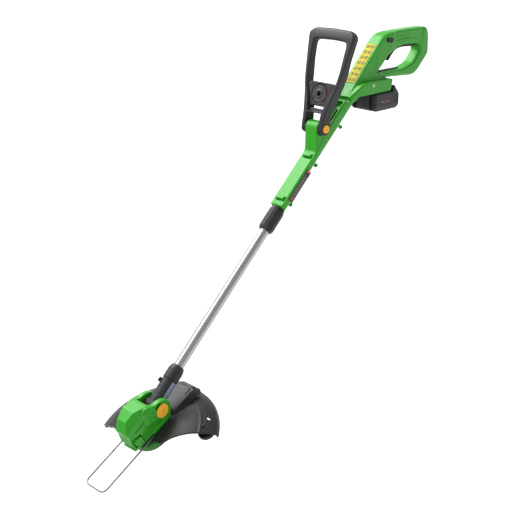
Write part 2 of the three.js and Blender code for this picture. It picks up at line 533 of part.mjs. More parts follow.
// ---- the whole tool ----
const cutting = head();
const tool = new THREE.Group();
tool.position.set(-GRIP.x, 0, -GRIP.z);
tool.add(
  group(rearHandle()),
  group(battery(), BATTERY.x, BATTERY.z, BATTERY.angle),
  group(frontHandle(), BARREL.x, BARREL.z, -HANDLE_ANGLE),
  group(shaft()),
  group([...cutting.head, ...cutting.spool, ...cutting.guard], TILT_X, 0, HEAD_ANGLE),
);
const part = new THREE.Group();
part.add(tool);

export default part;
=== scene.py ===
# %% [markdown]
# # A cordless string trimmer in Blender
# A garden trimmer is a long, thin tool: a looped rear handle with a battery, a telescopic tube and a
# tilting cutting head. Its mouldings are full of rounded rims, fillets and shallow panel lines. The
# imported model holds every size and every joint, so this lesson starts by loading it and then dresses
# each body with a finer surface and a finish of its own.

# %% Load the frame
import json
import math

import bmesh
import bpy
import numpy as np
from mathutils import Matrix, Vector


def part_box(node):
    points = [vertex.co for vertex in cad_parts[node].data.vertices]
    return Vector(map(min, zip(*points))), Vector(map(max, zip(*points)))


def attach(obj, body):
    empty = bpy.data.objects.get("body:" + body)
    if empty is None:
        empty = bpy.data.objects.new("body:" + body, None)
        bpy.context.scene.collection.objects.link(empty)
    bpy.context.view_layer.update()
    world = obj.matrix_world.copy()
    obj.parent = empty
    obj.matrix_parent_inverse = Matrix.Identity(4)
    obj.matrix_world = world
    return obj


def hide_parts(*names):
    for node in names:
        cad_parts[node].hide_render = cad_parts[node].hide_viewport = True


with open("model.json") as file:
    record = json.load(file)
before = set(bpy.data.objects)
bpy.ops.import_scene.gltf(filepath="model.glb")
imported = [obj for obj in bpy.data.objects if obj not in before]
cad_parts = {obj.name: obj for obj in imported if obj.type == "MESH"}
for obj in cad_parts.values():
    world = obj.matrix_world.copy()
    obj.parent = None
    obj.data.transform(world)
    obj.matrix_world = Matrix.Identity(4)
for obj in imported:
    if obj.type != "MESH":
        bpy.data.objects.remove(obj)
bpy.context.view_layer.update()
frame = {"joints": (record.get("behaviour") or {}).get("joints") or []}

joints = {joint["name"]: joint for joint in frame["joints"]}

# %% [markdown]
# ## Four workbenches
# The trimmer is symmetric about the plane y = 0, but its parts lean at four different angles. Each
# shape below is drawn in millimetres on its own bench, where x runs along the part, y runs across the
# tool and z stands off its front. A bench is just an origin and an upward direction, and both are read
# from the frame's boxes and joints, so nothing has to be fitted afterwards.

# %% Benches
MM = 0.001
WELD = 1e-7  # metres: points nearer than this are one point


class Bench:
    """A local frame in millimetres: place = origin + (x along + y across + z up) / 1000."""

    def __init__(self, origin, up):
        self.origin = np.array(origin, float)
        self.up = np.array(up, float)
        self.along = np.array([up[2], 0.0, -up[0]])

    def world(self, x, y, z):
        """The place in metres of points drawn in millimetres on this bench."""
        x, y, z = np.broadcast_arrays(x, y, z)
        across = np.array([0.0, 1.0, 0.0])
        return self.origin + MM * (
            x[..., None] * self.along + y[..., None] * across + z[..., None] * self.up
        )


tube_low, tube_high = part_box("shaft_tube")
shaft_height = (tube_low.z + tube_high.z) / 2
SHAFT = Bench((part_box("lock_collar")[0].x, 0, shaft_height), (0, 0, 1))
slide = joints["battery_slide"]["axis"]
RAILS_AT = 383.0  # where the battery's rails start along the shaft
BATTERY = Bench(SHAFT.world(RAILS_AT, 0.0, 0.0), (-slide[2], 0, slide[0]))
HANDLE = Bench(joints["front_handle_fold"]["pos_m"], joints["spare_spool_pull"]["axis"])
HEAD = Bench(joints["head_tilt"]["pos_m"], joints["spool_spin"]["axis"])
print("shaft axis is", round(shaft_height, 4), "m above the grip's middle")

# %% [markdown]
# ## The camera
# The tool is seen from its left, above and a little in front, rolled so that the shaft climbs from the
# lower left to the upper right. The camera's own right, up and back directions are written as a
# rotation, which is simpler than stacking three turns.

# %% Camera
CAMERA_AT = (-1.2267, -1.4253, 1.6020)
CAMERA_RIGHT = (0.5162, -0.7188, -0.4657)
CAMERA_UP = (0.8164, 0.2487, 0.5212)
CAMERA_BACK = (-0.2588, -0.6492, 0.7152)
FOCAL_LENGTH = 70.73  # mm, on a 36 mm wide sensor

camera_data = bpy.data.cameras.new("camera")
camera_data.lens = FOCAL_LENGTH
camera_data.sensor_width = 36.0
camera = bpy.data.objects.new("camera", camera_data)
turn = Matrix((CAMERA_RIGHT, CAMERA_UP, CAMERA_BACK)).transposed().to_4x4()
turn.translation = CAMERA_AT
camera.matrix_world = turn
bpy.context.scene.collection.objects.link(camera)
bpy.context.scene.camera = camera

# %% [markdown]
# ## Finishes
# Moulded plastic is never one flat colour. The mould leaves a fine grain, the gloss changes slowly
# from place to place, and handling rubs the crests lighter. One recipe makes all of that from noise
# read in object coordinates, and each plastic only changes its colour, its gloss and its grain.

# %% Node helpers


def new_material(name):
    """A material with its shader, its node maker and its link maker."""
    material = bpy.data.materials.new(name)
    material.use_nodes = True
    tree = material.node_tree
    shader = tree.nodes["Principled BSDF"]

    def add(kind, **values):
        """A new node. A key that names an input sets it, and any other key sets a property."""
        node = tree.nodes.new(kind)
        for key, value in values.items():
            if key in node.inputs.keys():
                node.inputs[key].default_value = value
            else:
                setattr(node, key, value)
        return node

    return material, shader, add, tree.links.new


def ramp(add, low, high, low_value, high_value):
    """A Map Range node that turns low..high into low_value..high_value, held at both ends."""
    node = add("ShaderNodeMapRange")
    for key, value in zip(("From Min", "From Max", "To Min", "To Max"), (low, high, low_value, high_value)):
        node.inputs[key].default_value = value
    return node


def shade(colour, factor):
    """A colour made lighter or darker, with full opacity."""
    return tuple(min(1.0, c * factor) for c in colour) + (1.0,)


def blend(add, link, amount, low, high):
    """A mix of two colours by an output from 0 to 1. Each is a fixed colour or another output."""
    mix = add("ShaderNodeMix", data_type="RGBA")
    link(amount, mix.inputs[0])
    for socket, value in ((mix.inputs[6], low), (mix.inputs[7], high)):
        if isinstance(value, tuple):
            socket.default_value = value
        else:
            link(value, socket)
    return mix.outputs[2]


def relief(shader, add, link, noise, shiny, dull, bump, depth):
    """One noise sets both how shiny each place is and the fine bumps of the surface."""
    gloss = ramp(add, 0.3, 0.7, shiny, dull)
    link(noise.outputs["Fac"], gloss.inputs["Value"])
    link(gloss.outputs["Result"], shader.inputs["Roughness"])
    height = add("ShaderNodeBump", Strength=bump, Distance=depth)
    link(noise.outputs["Fac"], height.inputs["Height"])
    link(height.outputs["Normal"], shader.inputs["Normal"])


# %% Moulded plastic


def moulded(name, colour, roughness=0.42, grain=1400.0, bump=0.05, worn=1.22, coat=0.0):
    """Plastic: slow noise mottles the colour, fine noise roughens it and raises the mould's grain,
    and the crests, found by the mesh's pointiness, are rubbed lighter."""
    material, shader, add, link = new_material(name)
    where = add("ShaderNodeTexCoord")
    slow = add("ShaderNodeTexNoise", Scale=14.0, Detail=3.0)
    fine = add("ShaderNodeTexNoise", Scale=grain, Detail=2.0)
    for noise in (slow, fine):
        link(where.outputs["Object"], noise.inputs["Vector"])
    mottle = blend(add, link, slow.outputs["Fac"], shade(colour, 0.93), shade(colour, 1.07))
    crest = ramp(add, 0.52, 0.60, 0.0, 0.6)
    link(add("ShaderNodeNewGeometry").outputs["Pointiness"], crest.inputs["Value"])
    rubbed = blend(add, link, crest.outputs["Result"], mottle, shade(colour, worn))
    link(rubbed, shader.inputs["Base Color"])
    relief(shader, add, link, fine, roughness - 0.05, roughness + 0.07, bump, 0.0004)
    shader.inputs["Specular IOR Level"].default_value = 0.36
    shader.inputs["Coat Weight"].default_value = coat
    shader.inputs["Coat Roughness"].default_value = 0.25
    return material


GREEN = moulded("green_plastic", (0.028, 0.335, 0.012), roughness=0.40, bump=0.04, worn=1.25)
DEEP_GREEN = moulded("dark_green_plastic", (0.008, 0.14, 0.006), roughness=0.42)
DARK = moulded("charcoal_plastic", (0.023, 0.0235, 0.025), roughness=0.48, bump=0.12, worn=1.6)
BLACK = moulded("black_plastic", (0.010, 0.010, 0.011), roughness=0.5, bump=0.10, worn=1.7)
GUARD_GREY = moulded("guard_plastic", (0.019, 0.0195, 0.0205), roughness=0.44, bump=0.06, worn=1.7)
SPOOL_GREY = moulded("spool_plastic", (0.042, 0.043, 0.046), roughness=0.48, bump=0.10)
ORANGE = moulded("orange_plastic", (1.0, 0.47, 0.03), roughness=0.36, bump=0.04, worn=1.08)
LINE_RED = moulded("nylon_line", (0.80, 0.13, 0.03), roughness=0.3, grain=600.0)
RUBBER = moulded("rubber_sheath", (0.02, 0.02, 0.021), roughness=0.7, bump=0.15)
print("plastics made")

# %% [markdown]
# Metal shows what is round it, so its colour comes from the room and its character from fine marks. The drawn
# tube is scratched lengthways: noise squeezed along the shaft makes long, thin streaks. The steel's
# noise is not squeezed.

# %% Metals


def drawn_metal(name, colour, roughness, along=(1.0, 1.0, 1.0)):
    """Bright metal: noise stretched along the drawing direction streaks the gloss and the surface."""
    material, shader, add, link = new_material(name)
    where = add("ShaderNodeTexCoord")
    stretch = add("ShaderNodeMapping")
    stretch.inputs["Scale"].default_value = along
    link(where.outputs["Object"], stretch.inputs["Vector"])
    streak = add("ShaderNodeTexNoise", Scale=900.0, Detail=3.0)
    link(stretch.outputs["Vector"], streak.inputs["Vector"])
    tint = blend(add, link, streak.outputs["Fac"], shade(colour, 0.92), shade(colour, 1.05))
    link(tint, shader.inputs["Base Color"])
    relief(shader, add, link, streak, roughness - 0.06, roughness + 0.08, 0.05, 0.0002)
    shader.inputs["Metallic"].default_value = 1.0
    shader.inputs["Specular Tint"].default_value = (0.25, 0.25, 0.25, 1.0)
    return material


ALUMINIUM = drawn_metal("anodised_aluminium", (0.50, 0.505, 0.515), 0.36, along=(0.03, 1.0, 1.0))
STEEL = drawn_metal("drawn_steel", (0.20, 0.20, 0.21), 0.34)
COPPER_BOARD = moulded("circuit_board", (0.05, 0.18, 0.07), roughness=0.35)
CELL_WRAP = moulded("cell_wrap", (0.04, 0.16, 0.12), roughness=0.3)

# %% [markdown]
# ## Surfaces from two parameters
# Round pieces are grids: one parameter runs along a profile and the other turns about an axis. The
# quads are worked out for the whole grid at once. Points that meet on the axis are merged, and the
# normals are then made to point outwards.

# %% Meshes from arrays


def build(name, points, faces, body, finish, stands_for=(), merge=0.0):
    """Makes one piece from point and face arrays, gives it a finish and lets it ride on a body."""
    mesh = bpy.data.meshes.new(name)
    mesh.from_pydata(np.asarray(points).reshape(-1, 3), [], np.asarray(faces))
    if merge > 0:
        work = bmesh.new()
        work.from_mesh(mesh)
        bmesh.ops.remove_doubles(work, verts=work.verts, dist=merge)
        bmesh.ops.recalc_face_normals(work, faces=work.faces)
        work.to_mesh(mesh)
        work.free()
    mesh.polygons.foreach_set("use_smooth", np.ones(len(mesh.polygons), bool))
    mesh.set_sharp_from_angle(angle=math.radians(65))
    mesh.materials.append(finish)
    mesh.update()
    piece = bpy.data.objects.new(name, mesh)
    bpy.context.scene.collection.objects.link(piece)
    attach(piece, body)
    if stands_for:
        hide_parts(*stands_for)
    print(name, len(mesh.polygons), "faces")
    return piece


def grid_faces(rows, columns, close_rows=False, close_columns=True):
    """The quads between neighbouring points of a rows x columns grid."""
    r = np.arange(rows if close_rows else rows - 1)[:, None]
    c = np.arange(columns if close_columns else columns - 1)[None, :]
    below, beside = (r + 1) % rows, (c + 1) % columns
    corners = (r * columns + c, r * columns + beside, below * columns + beside, below * columns + c)
    return np.stack(np.broadcast_arrays(*corners), -1).reshape(-1, 4)


def rounded(points, steps=5):
    """A closed outline of (x, z, radius): each corner is a parabola between the points one radius away."""
    line = []
    count = len(points)
    for i, corner in enumerate(points):
        here = np.array(corner[:2], float)
        radius = corner[2] if len(corner) > 2 else 0.0
        before = np.array(points[i - 1][:2], float) - here
        after = np.array(points[(i + 1) % count][:2], float) - here
        reach = min(radius, np.hypot(*before) / 2.1, np.hypot(*after) / 2.1)
        if reach == 0:
            line.append(here[None])
            continue
        a = here + before / np.hypot(*before) * reach
        b = here + after / np.hypot(*after) * reach
        t = np.linspace(0, 1, steps)[:, None]
        line.append((1 - t) ** 2 * a + 2 * t * (1 - t) * here + t ** 2 * b)
    return np.concatenate(line)


AXIS = (0.0, 0.0, 0.0)  # a piece that turns about its bench's own axis
AXES = {
    "x": lambda c, s, r, h: (h, r * c, r * s),
    "y": lambda c, s, r, h: (r * c, h, r * s),
    "z": lambda c, s, r, h: (r * c, r * s, h),
}


def turned(bench, axis, centre, profile, sides=64, ripple=None):
    """A closed profile of (radius, height, corner radius) turned about an axis through centre. ripple
    changes each radius by a function of the angle and the radius."""
    line = rounded(profile)
    angle = np.linspace(0, 2 * np.pi, sides, endpoint=False)[None, :]
    radius, height = line[:, 0][:, None], line[:, 1][:, None]
    if ripple is not None:
        radius = ripple(angle, radius, height)
    x, y, z = AXES[axis](np.cos(angle), np.sin(angle), radius, height)
    points = bench.world(centre[0] + x, centre[1] + y, centre[2] + z)
    return points, grid_faces(len(line), sides, close_rows=True)


def crisp(piece):
    """Keeps flat faces flat next to small rounded rims: normals are weighted by face area."""
    piece.modifiers.new("flat_faces", "WEIGHTED_NORMAL").keep_sharp = True
    return piece


def turned_piece(name, bench, axis, centre, profile, body, finish, stands_for, sides, ripple=None):
    """One turned piece, welded where its profile meets the axis, with its flat faces kept flat."""
    points, faces = turned(bench, axis, centre, profile, sides, ripple)
    return crisp(build(name, points, faces, body, finish, [stands_for], merge=WELD))


# %% [markdown]
# ## Surfaces from a distance
# A moulded housing is not a profile turned or pushed along a path: it is many rounded blocks melted
# into each other. A distance field says this directly. It is a function of x, y and z that is
# negative inside and positive outside, and the surface is where it is zero. Rounding a rim, filleting
# a joint and pressing in a panel line are then each one line of arithmetic.

# %% Distances


def side_distances(x, z, line, closed=True):
    """Distance from (x, z) to the nearest side of an outline, and whether the point is inside it."""
    best = np.full(np.broadcast(x, z).shape, np.inf)
    inside = np.zeros(best.shape, bool)
    ends = np.roll(line, -1, axis=0) if closed else line[1:]
    for (ax, az), (bx, bz) in zip(line, ends):
        ex, ez = bx - ax, bz - az
        t = np.clip(((x - ax) * ex + (z - az) * ez) / max(ex * ex + ez * ez, 1e-12), 0, 1)
        best = np.minimum(best, (x - ax - t * ex) ** 2 + (z - az - t * ez) ** 2)
        if closed and az != bz:
            crossing = ((az > z) != (bz > z)) & (x < ax + (z - az) * ex / ez)
            inside ^= crossing
    return np.sqrt(best), inside


class Outline:
    """Signed distance to an outline, or plain distance to an open line. It is worked out once on a
    1 mm grid, and read between the grid's points in proportion to how near each one is."""

    def __init__(self, points, closed=True, margin=30.0, step=1.0):
        line = rounded(points) if closed else np.array(points, float)
        self.low = line.min(0) - margin
        self.step = step
        count = np.ceil((line.max(0) + margin - self.low) / step).astype(int) + 1
        x = self.low[0] + step * np.arange(count[0])[:, None]
        z = self.low[1] + step * np.arange(count[1])[None, :]
        distance, inside = side_distances(x, z, line, closed)
        self.table = np.where(inside, -distance, distance)

    def __call__(self, x, z):
        """The distance at (x, z), shared out between the four grid points round it."""
        rows, columns = self.table.shape
        u = np.clip((x - self.low[0]) / self.step, 0, rows - 1.001)
        v = np.clip((z - self.low[1]) / self.step, 0, columns - 1.001)
        i, j = np.floor(u).astype(int), np.floor(v).astype(int)
        u, v = u - i, v - j
        t = self.table
        near = t[i, j] * (1 - u) + t[i + 1, j] * u
        far = t[i, j + 1] * (1 - u) + t[i + 1, j + 1] * u
        return near * (1 - v) + far * v


def meet(a, b, radius):
    """What two fields share, with its rim rounded to a radius."""
    outside = np.sqrt(np.maximum(a + radius, 0) ** 2 + np.maximum(b + radius, 0) ** 2)
    return np.minimum(np.maximum(a + radius, b + radius), 0) + outside - radius


def melt(a, b, radius):
    """Two fields joined, with a fillet of about that radius between them."""
    near = np.maximum(radius - np.abs(a - b), 0) / radius
    return np.minimum(a, b) - near * near * radius / 4


def cut(a, b, radius=0.0):
    """The first field without the second, with the cut's rim rounded."""
    return meet(a, -b, radius) if radius else np.maximum(a, -b)


def box(x, y, z, low, high, radius=0.0):
    """Distance to a box between two corners, with rounded edges."""
    sides = [np.abs(v - (l + h) / 2) - (h - l) / 2 + radius for v, l, h in zip((x, y, z), low, high)]
    outside = np.sqrt(sum(np.maximum(s, 0) ** 2 for s in sides))
    return outside + np.minimum(np.maximum(np.maximum(sides[0], sides[1]), sides[2]), 0) - radius


def press(field, distance, width, depth):
    """Presses a round-bottomed line into a field: deepest where distance is zero."""
    return field + depth * np.maximum(1 - (distance / width) ** 2, 0) ** 2


# %% [markdown]
# To turn a field into a mesh, space is divided into small cubes. Every cube that the surface passes
# through gets one point, four such points round each crossed edge make a quad, and every point is
# then slid along the field's slope until it lies on the surface.

# %% Skin of a field


def slope(field, p, e=0.05):
    """The field's gradient at points p, by central differences."""
    steps = np.eye(3) * e
    pairs = [(field(*(p + s).T), field(*(p - s).T)) for s in steps]
    return np.stack([(a - b) / (2 * e) for a, b in pairs], -1)


def skin(field, low, high, cell):
    """Points (mm) and quads of the surface where the field is zero, inside a box."""
    axes = [np.arange(a - 1.37 * cell, b + 2.4 * cell, cell) for a, b in zip(low, high)]
    x, y, z = np.meshgrid(*axes, indexing="ij", sparse=True)
    values = np.broadcast_to(field(x, y, z), tuple(len(a) for a in axes)).astype(np.float32)
    inside = values < 0
    nx, ny, nz = (n - 1 for n in values.shape)
    offsets = [(i, j, k) for i in (0, 1) for j in (0, 1) for k in (0, 1)]

    def corner(array, o):
        """The part of an array that holds the same corner of every cube."""
        return array[o[0]:o[0] + nx, o[1]:o[1] + ny, o[2]:o[2] + nz]

    count = sum(corner(inside, o).astype(np.int8) for o in offsets)
    active = (count > 0) & (count < 8)
    index = np.full(active.shape, -1, np.int64)
    index[active] = np.arange(active.sum())
    cubes = np.argwhere(active)
    levels = {o: corner(values, o)[active] for o in offsets}
    total = np.zeros((len(cubes), 3))
    crossings = np.zeros(len(cubes))
    for o in offsets:
        for axis in range(3):
            if o[axis]:
                continue
            other = tuple(v + (i == axis) for i, v in enumerate(o))
            a, b = levels[o], levels[other]
            crossed = (a < 0) != (b < 0)
            t = np.where(crossed, a / np.where(crossed, a - b, 1), 0)
            spot = np.array(o, float) + np.outer(t, np.eye(3)[axis])
            total += spot * crossed[:, None]
            crossings += crossed
    start = np.array([a[0] for a in axes])
    points = start + cell * (cubes + total / crossings[:, None])
    quads = []
    for axis in range(3):
        u, v = (axis + 1) % 3, (axis + 2) % 3
        near = [slice(1, n) for n in (nx, ny, nz)]
        near[axis] = slice(0, (nx, ny, nz)[axis])
        ahead = list(near)
        ahead[axis] = slice(1, (nx, ny, nz)[axis] + 1)
        a, b = inside[tuple(near)], inside[tuple(ahead)]
        found = np.argwhere(a != b) + np.array([s.start for s in near])
        leaving = a[a != b]

        def around(du, dv):
            """The point of the cube that lies du and dv steps across from each crossed edge."""
            at = found.copy()
            at[:, u] += du
            at[:, v] += dv
            return index[at[:, 0], at[:, 1], at[:, 2]]

        ring = np.stack([around(-1, -1), around(0, -1), around(0, 0), around(-1, 0)], -1)
        quads.append(np.where(leaving[:, None], ring, ring[:, ::-1]))
    for _ in range(3):
        g = slope(field, points)
        move = field(*points.T)[:, None] * g / np.maximum((g * g).sum(-1), 0.25)[:, None]
        points = points - np.clip(move, -0.6 * cell, 0.6 * cell)
    return points, np.concatenate(quads)


def cast(name, bench, field, low, high, cell, body, finish, stands_for=()):
    """A piece whose surface is the zero of a field drawn on a bench."""
    points, quads = skin(field, low, high, cell)
    return build(name, bench.world(*points.T), quads, body, finish, stands_for)

# %% [markdown]
# ## The rear housing
# The real housing is two mouldings screwed together, but their outside reads as one shape. A spine
# carries the tube, a bracket rises to the front handle's hinge, a flank swells out over the battery,
# and a loop closes round the hand. All of them are rounded slabs cut from side outlines, melted
# together where the real moulding has fillets. One surface stands for both shells, with the parting
# line pressed in, because two separate ones would never meet in a clean seam.

# %% Housing outlines, on the shaft bench
SPINE_HALF = 18.0
LOOP_HALF = 16.0
MOUNT_HALF = 34.0
BARREL_X, BARREL_Z, BARREL_R, BARREL_HALF = 257.0, 41.0, 16.0, 17.0
BORE_R = 11.4
PIN_HOLE = 4.4  # radius of the hinge bolt's hole
PEGS = ((89.0, 26.0), (200.0, 27.0), (311.0, 28.0))  # cable pegs: place along the spine, reach
HOOKS = (79.0, 196.0)
SCREW_WELLS = ((345, 3), (477, 18), (601, -32), (600, -124))

spine_side = Outline([
    (60.3, 14, 4), (209, 14, 14), (277, 22, 6), (363, 23, 8), (471, 29, 30), (533, 31, 22), (571, 6, 24),
    (552, -14, 8), (512, -17, 4), (470, -52), (396, -9, 6), (372, -9, 10), (355, -16, 6), (181, -16, 3),
    (176, -19, 3), (72.3, -19, 5), (60.3, -12, 3),
])
loop_side = Outline([
    (470, 0), (500, 24, 6), (533, 31, 22), (571, 6, 24), (612, -31, 26), (667.5, -84, 14), (657, -106, 12),
    (632, -136, 12), (621, -138, 6), (573, -138, 12), (555, -131, 14), (485, -57, 6), (440, -20),
])
hand_hole = Outline([
    (462, -17, 3), (514, -19, 10), (546, -29, 14), (573, -43, 12), (620, -90, 10), (613, -107, 13),
    (575, -110, 15), (539, -89, 9),
])
flank_side = Outline([
    (325, 2), (350, 5, 8), (368, 9, 8), (380, 3.5, 6), (461.3, -73, 4), (484.5, -56.6, 5),
    (452, -24, 20), (421, 6.5, 22), (397, 22, 22), (362, 24), (300, 22),
])
bracket_side = Outline([
    (200, 8), (209.9, 14), (245.3, 51.9), (257, 41), (273, 36, 4), (278, 16), (240, 2),
])
pocket_side = Outline([
    (506, -44), (508, -21), (545, -13), (560, -13), (588, -36), (626, -74), (630, -90), (616, -100),
])
lock_side = Outline([(531.5, 13.6, 5), (538.5, 19.8, 5), (554.5, 1.4, 5), (547.5, -4.8, 5)])

# %% Panel lines
grip_line = Outline([(556, 33), (555.5, 22), (560, 3), (569, -6), (597, -32)], closed=False)
panel_line = Outline([(560, 3), (569, -6), (596, -33), (598.5, -45), (567, -15), (560, 3)], closed=False)
palm_line = Outline([(552, -13), (560, -12.5), (601, -48), (622, -68)], closed=False)
end_seam = Outline([(655, -67), (644, -79), (630, -94)], closed=False)


def swell(x, start, end):
    """0 before start, 1 after end, and a smooth S between them."""
    t = np.clip((x - start) / (end - start), 0, 1)
    return t * t * (3 - 2 * t)


def housing(x, y, z):
    """The whole rear moulding before it is split: slabs melted together, then cut and pressed."""
    side = np.abs(y)
    spine = meet(spine_side(x, z), side - SPINE_HALF, 2.6)
    back_slope = (side - z) * 0.707 - 14.0 - 20 * swell(x, 366, 400)
    spine = meet(spine, back_slope, 3.0)
    loop = meet(loop_side(x, z), side - LOOP_HALF, 6.5)
    flank_half = SPINE_HALF + (MOUNT_HALF - SPINE_HALF) * swell(x, 332, 396)
    flank = meet(flank_side(x, z), side - flank_half, 3.0)
    bracket = meet(bracket_side(x, z), side - BARREL_HALF, 1.8)
    barrel = meet(np.hypot(x - BARREL_X, z - BARREL_Z) - BARREL_R, side - BARREL_HALF, 1.2)
    body = melt(melt(spine, loop, 7), flank, 3)
    body = melt(body, np.minimum(bracket, barrel), 3)
    for at, reach in PEGS:
        neck = meet(np.hypot(x - at, y) - 2.8, np.abs(z + 20) - 7, 0.5)
        head = np.sqrt((x - at) ** 2 + y ** 2 + ((z + reach) * 1.3) ** 2) - 5.2
        body = np.minimum(body, melt(neck, head, 1.0))
    for at in HOOKS:
        hook = box(x, y, z, (at - 2, -11, 10), (at + 5, 11, 18.3), 1.4)
        body = melt(body, hook, 2.0)
        body = cut(body, box(x, y, z, (at - 5, -11, 10.5), (at - 2.2, 10, 17), 0.8), 0.4)
        body = cut(body, box(x, y, z, (at - 5, -14.5, 11), (at + 6, -11.5, 17), 0.8), 0.4)
    body = cut(body, hand_hole(x, z), 6.0)
    body = cut(body, box(x, y, z, (288, -13.5, 12), (346, 13.5, 40), 2.0), 1.0)
    body = cut(body, box(x, y, z, (350, -30, 15.5), (360, 30, 40), 1.0), 0.8)
    body = cut(body, np.maximum(np.hypot(y, z) - BORE_R, x - 330))
    body = cut(body, np.maximum(pocket_side(x, z), side - 8.7))
    body = cut(body, np.maximum(lock_side(x, z) - 0.5, y - 40))
    body = cut(body, np.hypot(x - BARREL_X, z - BARREL_Z) - PIN_HOLE)
    slot_x = BATTERY.along[0] * (x - RAILS_AT) + BATTERY.along[2] * z
    slot_z = BATTERY.up[0] * (x - RAILS_AT) + BATTERY.up[2] * z
    body = cut(body, box(slot_x, y, slot_z, (44, -27.4, -12), (130, 27.4, 9.4), 1.0))
    on_side = side - 9
    line = np.minimum(grip_line(x, z), panel_line(x, z))
    body = press(body, np.where(on_side > 0, line, 9), 2.8, 1.4)
    body = press(body, np.where(on_side > 0, palm_line(x, z), 9), 2.6, 1.0)
    body = press(body, end_seam(x, z), 2.6, 1.2)
    return body


# %% Both shells as one surface, with the parting line pressed in
def shells(x, y, z):
    """The whole housing with a fine parting line down the middle and screw wells on its right."""
    whole = press(housing(x, y, z), y, 1.5, 0.25)
    for sx, sz in SCREW_WELLS:
        whole = cut(whole, np.maximum(np.hypot(x - sx, z - sz) - 3.6, 12.5 - y), 0.5)
    return whole


cast("rear_housing", SHAFT, shells, (60, -34, -139), (668, 34, 58), 1.45,
     "housing", GREEN, ["handle_shell_left", "handle_shell_right"])

# %% [markdown]
# ## Trigger and lock button
# The trigger is a long curved lever that follows the fingers, with a hooked tip. The lock button is an
# oval plug through the housing. Both are slabs of an outline with well rounded rims.

# %% Trigger and lock
trigger_side = Outline([
    (517, -35, 1), (519, -39, 1.5), (532, -38, 4), (552, -38, 14), (573, -52, 14), (606, -87, 4),
    (612, -90, 3), (620, -86, 3), (616, -78, 3), (584, -44, 3), (558, -26, 6), (545, -24, 4), (528, -29, 3),
])


def trigger(x, y, z):
    """A slab of the outline, 16 mm wide with rounded rims, less a round hole near its end."""
    body = meet(trigger_side(x, z), np.abs(y) - 8, 3.0)
    return cut(body, np.hypot(x - 614, z + 84) - 2.4)


cast("trigger_lever", SHAFT, trigger, (516, -8, -91), (622, 8, -23), 1.0, "trigger", BLACK,
     ["trigger"])


def lock(x, y, z):
    """A plug of the oval outline through the housing, with a shallow dish in its left face."""
    body = meet(lock_side(x, z) + 0.4, np.maximum(-21 - y, y - 17.6), 1.6)
    return press(body, np.hypot(np.hypot(x - 543, z - 7.5), y + 24), 6.0, 0.8)


cast("lock_plug", SHAFT, lock, (530, -21, -6), (556, 17.6, 21), 0.9, "lock", BLACK,
     ["lock_button"])

# %% [markdown]
# ## Battery
# The pack is a rounded box in two halves with a fine parting line. Its nose has a recessed channel at
# each corner and its back has a sloping shoulder with the release latch below it.

# %% Battery cases, on the battery bench
pack_side = Outline([
    (46, -37, 4), (52, -43, 4), (131, -43, 4), (136, -37, 4), (136, -9, 4), (118, 12.5, 4), (113.5, 12.5, 1),
    (113.5, -1.3), (49, -1.3, 4), (46, -6, 3),
])
PACK_HALF = 37.0
PARTING = -22.0


def pack(x, y, z):
    """The pack's outside: one rounded slab, with channels pressed into its nose and finger ribs."""
    side = np.abs(y)
    body = meet(pack_side(x, z), side - PACK_HALF + 2.4 * swell(-z, 30, 43), 3.5)
    channel = box(x, side, z, (40, 18, -60), (54, 28.5, 20), 1.5)
    body = cut(body, channel, 1.2)
    for at in (118, 123, 128):
        along_rib = np.hypot(x - at, np.maximum(np.abs(z + 20) - 10, 0))
        body = press(body, along_rib + np.where(side < 35, 9, 0), 1.4, 0.8)
    return body


def lower_case(x, y, z):
    """What the pack has below the parting line, with its rim rounded."""
    return meet(pack(x, y, z), z - PARTING, 0.7)


def upper_case(x, y, z):
    """What the pack has above the parting line, with two rails, less a window for the latch."""
    body = meet(pack(x, y, z), PARTING + 0.3 - z, 0.7)
    rails = box(x, y, z, (60, -27, -3), (115, 27, 9), 1.0)
    body = np.minimum(body, cut(rails, box(x, y, z, (50, -22, 0), (80, 22, 20)), 0.5))
    return cut(body, box(x, y, z, (130, -14.3, -19.3), (141, 14.3, -11.7), 0.3), 0.4)


cast("lower_case", BATTERY, lower_case, (46, -37, -43), (136, 37, -22), 1.3, "battery", DARK,
     ["battery_case_lower"])
cast("upper_case", BATTERY, upper_case, (46, -37, -22), (136, 37, 13), 1.3, "battery", DARK,
     ["battery_case_upper"])


def latch(x, y, z):
    """A small rounded block with three grooves pressed into its outer face."""
    body = box(x, y, z, (134, -14, -19), (139, 14, -12), 1.2)
    for at in (-7, 0, 7):
        body = press(body, np.hypot(y - at, x - 139.5), 1.6, 0.9)
    return body


cast("latch_button", BATTERY, latch, (134, -14, -19), (139, 14, -12), 0.7, "battery_catch", BLACK,
     ["battery_latch"])

# %% [markdown]
# ## Front handle
# The front handle is a tapering loop. Seen from the front it is a frame that widens to its crossbar;
# seen from the side it is a bar that swells near the hinge. Its solid is what those two outlines
# share, with the shared rims rounded.

# %% Front handle, on the handle bench
ARM_IN, ARM_OUT = 20.0, 30.0


def both_sides(half):
    """A half outline and its mirror image across y = 0. A last point on y = 0 isn't repeated."""
    shared = 1 if half[-1][1] == 0 else 0
    return half + [(u, -y, *r) for u, y, *r in half[len(half) - 1 - shared::-1]]


